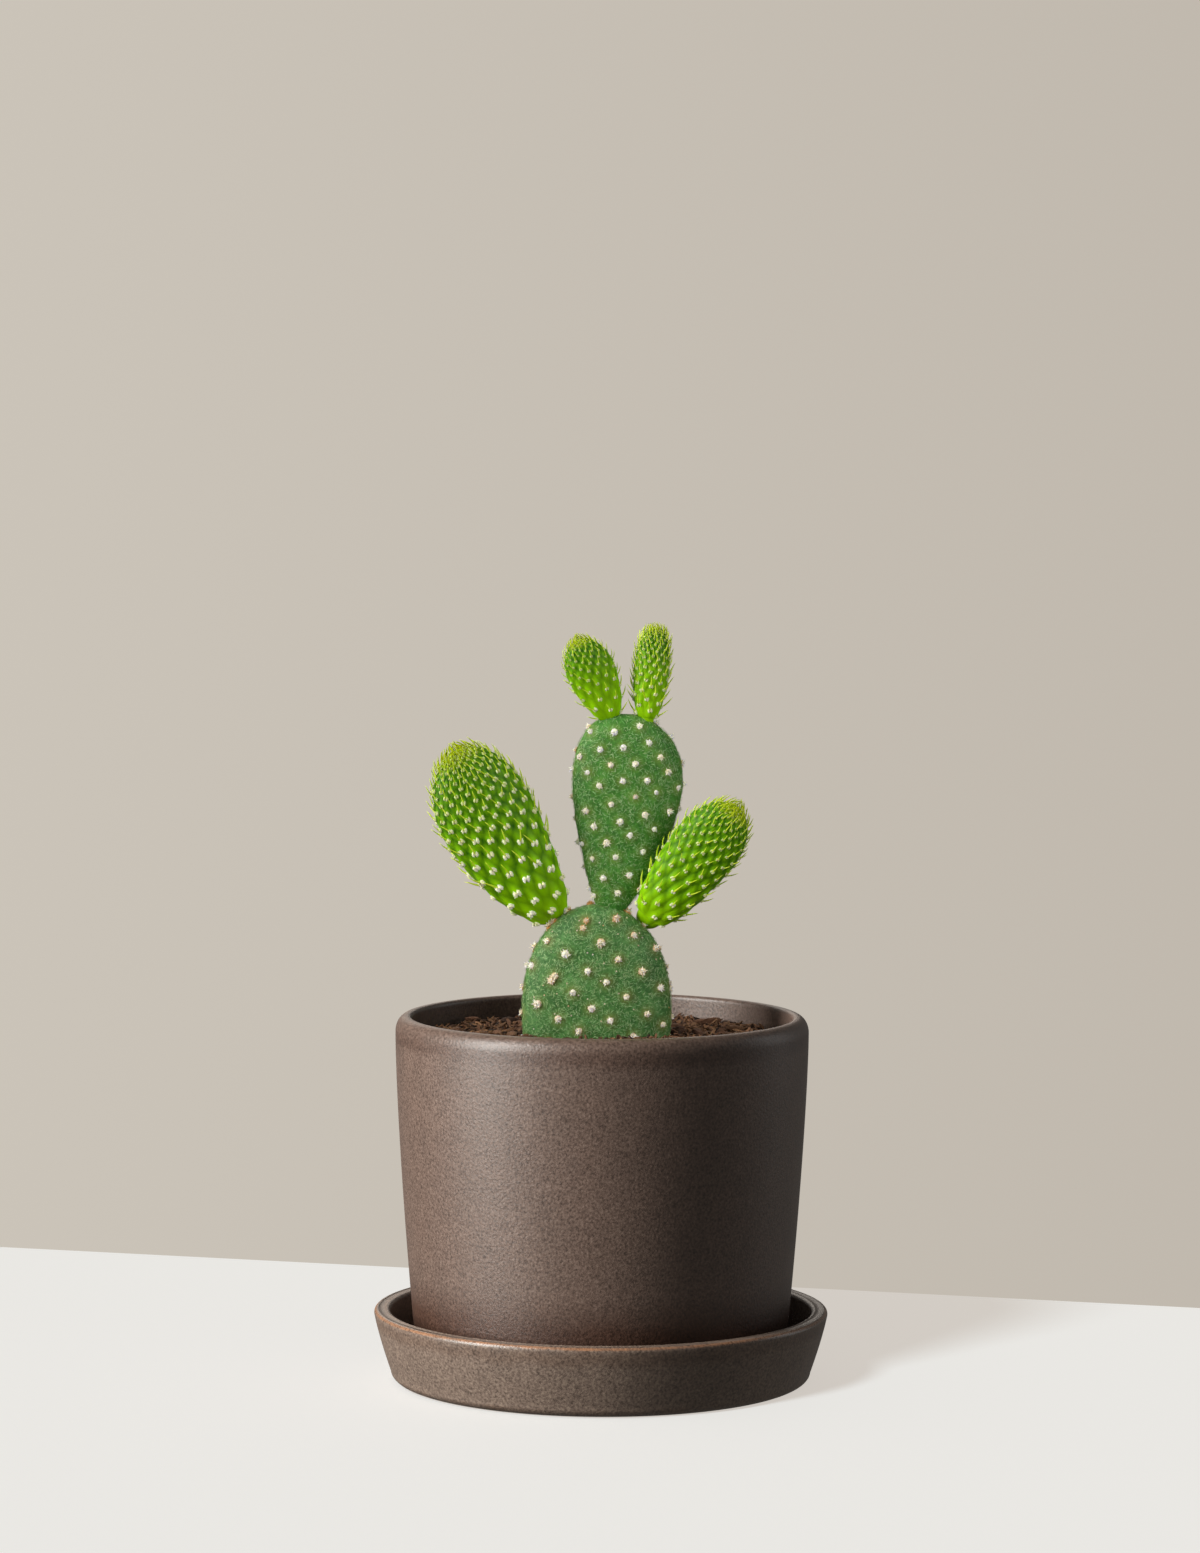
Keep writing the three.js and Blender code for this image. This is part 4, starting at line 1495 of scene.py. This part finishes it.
@dataclass
class YoungPad(Pad):
    """A young pad: raised tubercles in spirals, each with a white star and a small awl-shaped leaf."""

    low_gap: float = 6.4
    high_gap: float = 2.4
    tip_gap: float = 1.4
    crowd_from: float = 0.4
    cap_from: float = 0.92
    leaves_from: float = 0.0
    leaf_sizes: tuple[float, float] = (5.0, 6.6)
    star_sizes: tuple[float, float] = (2.4, 2.9)
    green_from: float = -0.4
    smooth_foot: float = 0.3
    # shares of the gap between areoles: the tubercles' height, length and width, and the stars' lift
    crest_share: float = 0.14
    long_share: float = 0.95
    wide_share: float = 0.36
    star_lift: float = 0.09

    def areoles(self) -> tuple[np.ndarray, np.ndarray, np.ndarray]:
        """Space areoles evenly round the pad in golden-section spirals that close up at the tip.

        Returns:
            Places along the pad, angles about its axis, and the gap to the next ones.
        """
        fine = np.linspace(0.0, 0.995, 500)
        edge = self.skin(fine, np.zeros_like(fine))
        run = np.linalg.norm(np.diff(edge, axis=0, prepend=edge[:1]), axis=1)
        gap = np.interp(fine, (0, self.crowd_from, self.cap_from, 1),
                        (self.low_gap, self.low_gap * 0.9, self.high_gap, self.tip_gap))
        count = np.cumsum(self.girth(fine) * run / gap ** 2)
        order = np.arange(0.5, count[-1])
        t = np.interp(order, count, fine)
        return t, self.edge_angle(t, order * GOLDEN_SHARE % 1), np.interp(t, fine, gap)

    def grow(self, kit: Kit) -> None:
        """Make the skin with its tubercles, then the stars and the leaves.

        Args:
            kit: The tools and finishes.
        """
        t, angle, gap = self.areoles()
        centres = self.skin(t, angle)
        high = self.crest_share * gap

        def relief(points: np.ndarray, along: np.ndarray) -> tuple[np.ndarray, np.ndarray]:
            """Raise a tubercle, longer along the pad than across it, under each areole.

            Args:
                points: Points on the smooth skin.
                along: Growing directions there.

            Returns:
                The height of the relief, and nearness to a crest, which paints light and shade on the skin.
            """
            total, crest = np.zeros(len(points)), np.zeros(len(points))
            for first in range(0, len(points), 4000):
                part = slice(first, first + 4000)
                offset = points[part, None, :] - centres[None, :, :]
                forward = np.einsum("ijk,ik->ij", offset, along[part])
                far = np.einsum("ijk,ijk->ij", offset, offset)
                sideways = np.maximum(far - forward ** 2, 0)
                bump = np.exp(-(forward / (self.long_share * gap)) ** 2
                              - sideways / (self.wide_share * gap) ** 2)
                total[part] = (bump * high).max(axis=1)
                crest[part] = bump.max(axis=1)
            # nearness to a crest: the skin turns it into painted light on the crests and painted shade
            # between them
            ridge = crest * (0.2 + 0.8 * total / np.maximum(crest * high.max(), 1e-6))
            return total - 0.25 * high.max(), ridge

        made, along_pad, ridge = self.mesh(relief)
        set_attribute(made, "ridge", ridge)
        set_attribute(made, "along", along_pad)
        set_attribute(made, "foot", 0.85 * np.clip(1 - along_pad / self.smooth_foot, 0, 1))
        made.data.materials.append(kit.finish(YOUNG_SKIN))
        settle(made, "young_skin", self.node)
        self.dress(kit, t, angle, gap)

    def dress(self, kit: Kit, t: np.ndarray, angle: np.ndarray, gap: np.ndarray) -> None:
        """Put a star on every areole and a leaf on all but the lowest.

        Args:
            kit: The tools and finishes.
            t: Places of the areoles along the pad.
            angle: Their angles about its axis.
            gap: Their distance from each other, in millimetres.
        """
        normal, along = self.axes(t, angle)
        facing, growth = self.aim(normal), self.aim(along)
        places = self.place(self.skin(t, angle)) + facing * (self.star_lift * gap)[:, None]
        ripe = np.clip((t - 0.9) / 0.08, 0, 1)
        greener = 0.85 * np.clip((t - self.green_from) / (1 - self.green_from), 0, 1)
        stars = Sprinkle(places, facing, growth, np.clip(gap / self.low_gap, 0.3, 1) ** 0.75, greener)
        kit.cover(f"{self.node}_stars", STARS, stars, self.seed, self.star_sizes)
        # the topmost leaves lie closer, and stop short of the top of the CAD box
        lying = np.clip((t - 0.75) / 0.25, 0, 1)[:, None]
        stance = unit(facing * (1 - 0.5 * lying) - growth * 0.1 * lying)
        climb = np.maximum(growth[:, 2], 0) + 0.45 * np.maximum(stance[:, 2], 0)
        room = (CAD_BOX[1].z / MM - places[:, 2] - 0.3) / np.maximum(climb * self.leaf_sizes[1], 1e-3)
        length = np.minimum(np.clip(gap / self.low_gap, 0.62, 1), room)
        leafy = t > self.leaves_from
        leaves = Sprinkle(*(rows[leafy] for rows in (places - growth * 0.5, stance, growth, length, ripe)))
        kit.cover(f"{self.node}_leaves", LEAVES, leaves, self.seed + 30, self.leaf_sizes)


# ------------------------------------------------------------------ potting mix and bark


@dataclass
class PottingMix:
    """The mix: a crumbly surface a little below the lip, covered in slivers of bark and coir."""

    edge_drop: float = 0.8
    wall_gap: float = 0.35
    foot_radius: float = 50.0
    rings: int = 90
    around: int = 300
    slivers: int = 3600
    crumbs: int = 1500
    sliver_sizes: tuple[float, float] = (2.2, 5.0)
    crumb_sizes: tuple[float, float] = (0.8, 1.7)
    seed: int = 5

    def height(self, x: np.ndarray, y: np.ndarray) -> np.ndarray:
        """Give the height of the crumbly surface.

        Args:
            x: Places to the right, in millimetres.
            y: Places to the back.

        Returns:
            The height at each place.
        """
        level = self.top - self.edge_drop * np.minimum(np.hypot(x, y) / self.radius, 1)
        for depth, pitch, layer in ((0.7, 0.05, 3.0), (0.6, 0.35, 9.0), (0.35, 0.9, 1.0)):
            level = level + depth * np.array([
                noise.noise(Vector((a * pitch, b * pitch, layer))) for a, b in zip(x, y)])
        return level

    def build(self, kit: Kit, pot: Pot) -> None:
        """Make the body of the mix and its top dressing.

        Args:
            kit: The tools and finishes.
            pot: The pot that holds it.
        """
        low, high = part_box("potting_mix")
        self.top = high.z / MM - 0.2
        self.radius = high.x / MM
        bottom = low.z / MM
        angles = np.arange(self.around) * TURN / self.around

        def ring(radius: float, heights: np.ndarray | None = None) -> np.ndarray:
            """Lay a ring of points.

            Args:
                radius: The ring's radius.
                heights: The height of each point, or none for a ring on the crumbly surface.

            Returns:
                The points.
            """
            x, y = radius * np.cos(angles), radius * np.sin(angles)
            return np.stack([x, y, self.height(x, y) if heights is None else heights], axis=1)

        rows = [ring(self.radius * i / self.rings) for i in range(1, self.rings + 1)]
        for level in np.linspace(self.top - 4, bottom + 6, 10):
            rows.append(ring(pot.inner(level) - self.wall_gap, np.full_like(angles, level)))
        rows.append(ring(self.foot_radius, np.full_like(angles, bottom)))
        centre = self.height(np.zeros(1), np.zeros(1))[0]
        vertices = np.concatenate([*rows, [[0, 0, centre], [0, 0, bottom]]])
        last = len(rows) * self.around
        loops = [range(first, first + self.around) for first in range(0, last, self.around)]
        faces = bridge([range(last + 1, last + 2), *reversed(loops), range(last, last + 1)])
        # a quad is split at its first corner: starting each face one corner on sets which way
        faces = [face[1:] + face[:1] for face in faces]
        made = mesh_object("potting_mix_body", vertices, faces)
        made.data.materials.append(kit.finish(CRUMB))
        settle(made, "potting_mix", "potting_mix")
        self.dress(kit)

    def lying(self, random: np.random.RandomState, count: int, lift: float) -> Sprinkle:
        """Find places for pieces that lie on the surface.

        Args:
            random: The source of chance.
            count: How many places.
            lift: How high they lie over the surface, in millimetres.

        Returns:
            The places.
        """
        radius = (self.radius - 1.6) * np.sqrt(random.uniform(size=count))
        angle = random.uniform(0, TURN, count)
        x, y = radius * np.cos(angle), radius * np.sin(angle)
        places = np.stack([x, y, self.height(x, y) + lift], axis=1)
        facing = unit(np.stack([random.normal(0, 0.22, count), random.normal(0, 0.22, count),
                                np.ones(count)], axis=1))
        spin = random.uniform(0, TURN, count)
        growth = np.stack([np.cos(spin), np.sin(spin), np.zeros(count)], axis=1)
        age = np.clip(random.normal(0.12, 0.25, count), 0, 0.9)
        return Sprinkle(places, facing, growth, random.uniform(0.6, 1.3, count), age)

    def dress(self, kit: Kit) -> None:
        """Scatter slivers and crumbs over the surface.

        Args:
            kit: The tools and finishes.
        """
        random = np.random.RandomState(self.seed)
        kit.cover("bark_and_coir_slivers", SLIVERS, self.lying(random, self.slivers, 0.15), self.seed,
                  self.sliver_sizes)
        kit.cover("mix_crumbs", CRUMBS, self.lying(random, self.crumbs, 0.0), self.seed + 1,
                  self.crumb_sizes)


@dataclass
class BarkChips:
    """The larger loose chips: each CAD chip is split finer and roughened like torn bark."""

    cuts: int = 3
    roughness: float = 0.22

    def build(self, kit: Kit) -> None:
        """Make one worn chip for each CAD chip.

        Args:
            kit: The tools and finishes.
        """
        names = sorted(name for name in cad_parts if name.startswith("bark_chip_"))
        for number, name in enumerate(names):
            bm = bmesh.new()
            bm.from_mesh(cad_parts[name].data)
            bmesh.ops.remove_doubles(bm, verts=bm.verts, dist=1e-6)
            bmesh.ops.subdivide_edges(bm, edges=bm.edges, cuts=self.cuts, use_grid_fill=True, smooth=0.25)
            bm.normal_update()
            for v in bm.verts:
                spot = v.co / MM
                ripple = noise.noise(spot * 1.1) + 0.5 * noise.noise(spot * 2.7)
                v.co += v.normal * ripple * self.roughness * MM
            made = from_bmesh(f"{name}_worn", bm)
            count = len(made.data.vertices)
            set_attribute(made, "tint", np.full(count, (number * GOLDEN_SHARE) % 1))
            set_attribute(made, "age", np.full(count, 0.35 * ((number * 0.37) % 1)))
            made.data.materials.append(kit.finish(BARK))
            settle(made, "bark", name)


# ------------------------------------------------------------------ studio


@dataclass
class Studio:
    """A pale table top, a soft key from the upper left and the camera. Its lengths are in metres."""

    eye: tuple[float, float, float] = (-0.00114, -1.7192, 0.3297)
    pitch: float = 4.131
    roll: float = 0.27
    lens: float = 118.3
    table_size: tuple[float, float, float] = (6.0, 4.0, 0.03)
    table_soft: float = 0.002
    table_back: float = 0.204
    table_turn: float = -15.2
    aim_height: float = 0.11
    key_place: tuple[float, float, float] = (-1.29, -0.6, 0.62)
    key_size: tuple[float, float] = (0.55, 1.5)
    sun_strength: float = 2.75
    sun_angle: float = 12.0
    sun_azimuth: float = 33.0
    sun_elevation: float = 33.0

    def camera(self) -> None:
        """Place the camera."""
        data = bpy.data.cameras.new("camera")
        data.lens = self.lens
        data.sensor_width = 36.0
        data.clip_start = 0.05
        data.clip_end = 50.0
        made = link(bpy.data.objects.new("camera", data))
        pitch, roll = math.radians(self.pitch), math.radians(self.roll)
        ahead = Vector((0, math.cos(pitch), -math.sin(pitch)))
        above = Vector((0, math.sin(pitch), math.cos(pitch)))
        right = Vector((math.cos(roll), 0, 0)) + above * math.sin(roll)
        up = above * math.cos(roll) - Vector((math.sin(roll), 0, 0))
        axes = Matrix((right, up, -ahead)).transposed()
        made.matrix_world = Matrix.Translation(self.eye) @ axes.to_4x4()
        bpy.context.scene.camera = made

    def table(self) -> bpy.types.Object:
        """Lay the table top, whose back edge is a short way behind the pot.

        Returns:
            The table top.
        """
        wide, deep, thick = self.table_size
        back = self.table_back
        bm = bmesh.new()
        bmesh.ops.create_cube(bm, size=1.0)
        for v in bm.verts:
            v.co = Vector((v.co.x * wide, (v.co.y - 0.5) * deep + back, (v.co.z - 0.5) * thick))
        bmesh.ops.bevel(bm, geom=bm.edges[:], offset=self.table_soft, segments=4, affect="EDGES")
        bmesh.ops.rotate(bm, verts=bm.verts, cent=(0, back, 0),
                         matrix=Matrix.Rotation(math.radians(self.table_turn), 3, "Z"))
        made = from_bmesh("table_top", bm)
        # matte laminate glows a little here, so that it stays as pale and even as under a wide softbox
        material, tree, shader = new_material("matte_white_laminate")
        feed(tree, shader, {
            "Base Color": colour("bbb8b5"), "Roughness": 0.8, "Specular IOR Level": 0.1,
            "Emission Color": colour("c8c2bb"), "Emission Strength": 1.0})
        made.data.materials.append(material)
        made.visible_diffuse = False
        made.visible_glossy = False
        made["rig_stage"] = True
        return made

    def softbox(self, name: str, place: tuple[float, float, float], size: tuple[float, float],
                watts: float, tint: str, lit: bpy.types.Collection) -> None:
        """Add a soft area light that looks at the object.

        Args:
            name: The light's name.
            place: Where it stands.
            size: Its width and height.
            watts: Its power.
            tint: Its colour.
            lit: The pieces that it lights.
        """
        data = bpy.data.lights.new(name, "AREA")
        data.shape = "RECTANGLE"
        data.size, data.size_y = size
        data.energy = watts
        data.color = colour(tint)[:3]
        made = link(bpy.data.objects.new(name, data))
        aim = (Vector((0, 0, self.aim_height)) - Vector(place)).to_track_quat("-Z", "Y")
        made.matrix_world = Matrix.Translation(place) @ aim.to_matrix().to_4x4()
        made.light_linking.receiver_collection = lit

    def backdrop(self) -> None:
        """Fill the space behind with a greige that lights the object only faintly."""
        world = bpy.data.worlds.new("greige_backdrop")
        world.use_nodes = True
        bpy.context.scene.world = world
        tree = world.node_tree
        tree.nodes.clear()
        toward = add(tree, "ShaderNodeTexCoord").outputs["Generated"]
        across = add(tree, "ShaderNodeSeparateXYZ", {0: toward}).outputs["X"]
        share = add(tree, "ShaderNodeMapRange", {"Value": across, "From Min": -0.2, "From Max": 0.2})
        greige = add(tree, "ShaderNodeMix", {
            "Factor": share.outputs["Result"], 6: colour("cec7bc"), 7: colour("bdb5aa")},
            data_type="RGBA")
        seen = add(tree, "ShaderNodeBackground", {"Color": greige.outputs[2], "Strength": 1.0})
        lit = add(tree, "ShaderNodeBackground", {"Color": colour("dcd8d0"), "Strength": 0.2})
        path = add(tree, "ShaderNodeLightPath")
        mix = add(tree, "ShaderNodeMixShader", {
            0: path.outputs["Is Camera Ray"], 1: lit.outputs[0], 2: seen.outputs[0]})
        add(tree, "ShaderNodeOutputWorld", {"Surface": mix.outputs[0]})

    def build(self) -> None:
        """Set up everything that isn't part of the object."""
        self.camera()
        self.top = self.table()
        self.backdrop()
        settings = bpy.context.scene.view_settings
        settings.view_transform = "Standard"
        settings.look = "None"

    def light(self) -> None:
        """Light the pieces: a tall soft key, with more of it on the dark stoneware, and soft fills."""
        pottery, plant, whole, ground = (
            bpy.data.collections.new(name) for name in ("pottery", "plant_and_mix", "whole_object", "ground"))
        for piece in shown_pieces():
            group = pottery if piece.get("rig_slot", "") == "glazed_stoneware" else plant
            group.objects.link(piece)
        whole.children.link(pottery)
        whole.children.link(plant)
        ground.objects.link(self.top)
        key, broad = (self.key_place, self.key_size), (1.0, 1.0)
        self.softbox("key_left", *key, 34.0, "fffdf8", whole)
        self.softbox("key_left_on_pottery", *key, 36.0, "fffdf8", pottery)
        self.softbox("edge_right", (1.5, 0.55, 0.5), (0.5, 1.2), 1.9, "ffffff", pottery)
        self.softbox("back_fill", (-0.2, 1.6, 0.9), broad, 4.0, "fff4e8", whole)
        self.softbox("top_fill", (-0.2, -0.3, 1.6), (1.2, 1.2), 8.0, "ffffff", plant)
        self.softbox("front_fill", (1.05, -1.25, 0.7), broad, 12.0, "ffffff", plant)
        sun = bpy.data.lights.new("window_on_table", "SUN")
        sun.energy = self.sun_strength
        sun.angle = math.radians(self.sun_angle)
        sun.color = colour("def2ff")[:3]
        made = link(bpy.data.objects.new("window_on_table", sun))
        made.rotation_euler = (math.radians(90 - self.sun_elevation), 0, math.radians(-self.sun_azimuth))
        made.light_linking.receiver_collection = ground


# ------------------------------------------------------------------ assembly


def make_pads() -> list[Pad]:
    """List the pads with their sizes.

    Returns:
        The grown pads, then the young ones.
    """
    return [
        GrownPad("base_pad", (-1.9, 0, 92), length=70.3, width=50.6, thickness=17, tilt=0, lean=0,
                 widest=0.484, neck=0.25, crown=2.2, lower_bow=2, lower_power=0.6, sink=0,
                 seed=3, rings=190, around=210, lattice_across=(-11.3, -3.3), lattice_down=(6.6, -4.9),
                 lattice_start=(5.8, 65.2), age=0.2, crown_age=0.6, doubled=0.04, tuft_sizes=(2.8, 3.5),
                 hairs=7500, strays=90, buried=0.3, skin_finish=OLDER_SKIN),
        GrownPad("middle_pad", (2.7, 0, 161), length=66, width=37.3, thickness=12.5, tilt=4.8, lean=0,
                 widest=0.62, neck=0.27, crown=2.8, lower_bow=1.4, lower_power=0.9, arch=2,
                 seed=4, rings=180, around=200),
        YoungPad("left_pad", (-15.8, 0, 156.8), length=68.2, width=32.6, thickness=15, tilt=-30.4, lean=10,
                 widest=0.64, neck=0.2, crown=2, lower_power=0.64, arch=-2.2, set_back=3.0,
                 seed=6, rings=200, around=220, leaves_from=0.3, leaf_sizes=(6.0, 7.6),
                 star_sizes=(3.6, 4.2), green_from=0.35),
        YoungPad("right_pad", (15.6, -2.5, 157.9), length=51.6, width=22.7, thickness=13, tilt=36.8,
                 lean=20, widest=0.66, neck=0.38, crown=2, sink=7, set_back=2.6,
                 seed=7, rings=170, around=190, leaves_from=0.08, low_gap=5.6, high_gap=2.2,
                 tip_gap=1.3, crowd_from=0.35),
        YoungPad("top_left_pad", (2.5, 0, 225.7), length=29.6, width=16.2, thickness=10, tilt=-23.6,
                 lean=15, widest=0.6, neck=0.3, crown=2, lower_power=0.64, sink=5,
                 seed=8, low_gap=5.0, high_gap=1.8, tip_gap=1.1, crowd_from=0.3,
                 leaf_sizes=(4.2, 5.4), star_sizes=(2.0, 2.5), smooth_foot=0.8),
        YoungPad("top_right_pad", (14.6, 0, 225.7), length=30.9, width=11.5, thickness=9.5, tilt=5.2,
                 lean=5, widest=0.5, neck=0.4, crown=2.6, sink=5,
                 seed=9, around=150, low_gap=4.2, high_gap=1.4, tip_gap=1.1, crowd_from=0.12,
                 leaf_sizes=(5.0, 6.2), star_sizes=(2.4, 2.8), smooth_foot=0.8),
    ]


def dress_hidden(kit: Kit) -> None:
    """Give the CAD node that keeps its own mesh, the root system, its finish.

    Args:
        kit: The finishes.
    """
    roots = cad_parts["root_system"]
    roots.data.materials.clear()
    roots.data.materials.append(kit.finish(ROOT))


def main() -> None:
    """Build the studio and every piece in order."""
    logging.basicConfig(level=logging.INFO, format="%(name)s %(message)s")
    studio = Studio()
    studio.build()
    kit = Kit()
    Saucer().build(kit)
    pot = Pot()
    pot.build(kit)
    PottingMix().build(kit, pot)
    BarkChips().build(kit)
    for pad in make_pads():
        pad.grow(kit)
    dress_hidden(kit)
    studio.light()


if __name__ == "__main__":
    main()
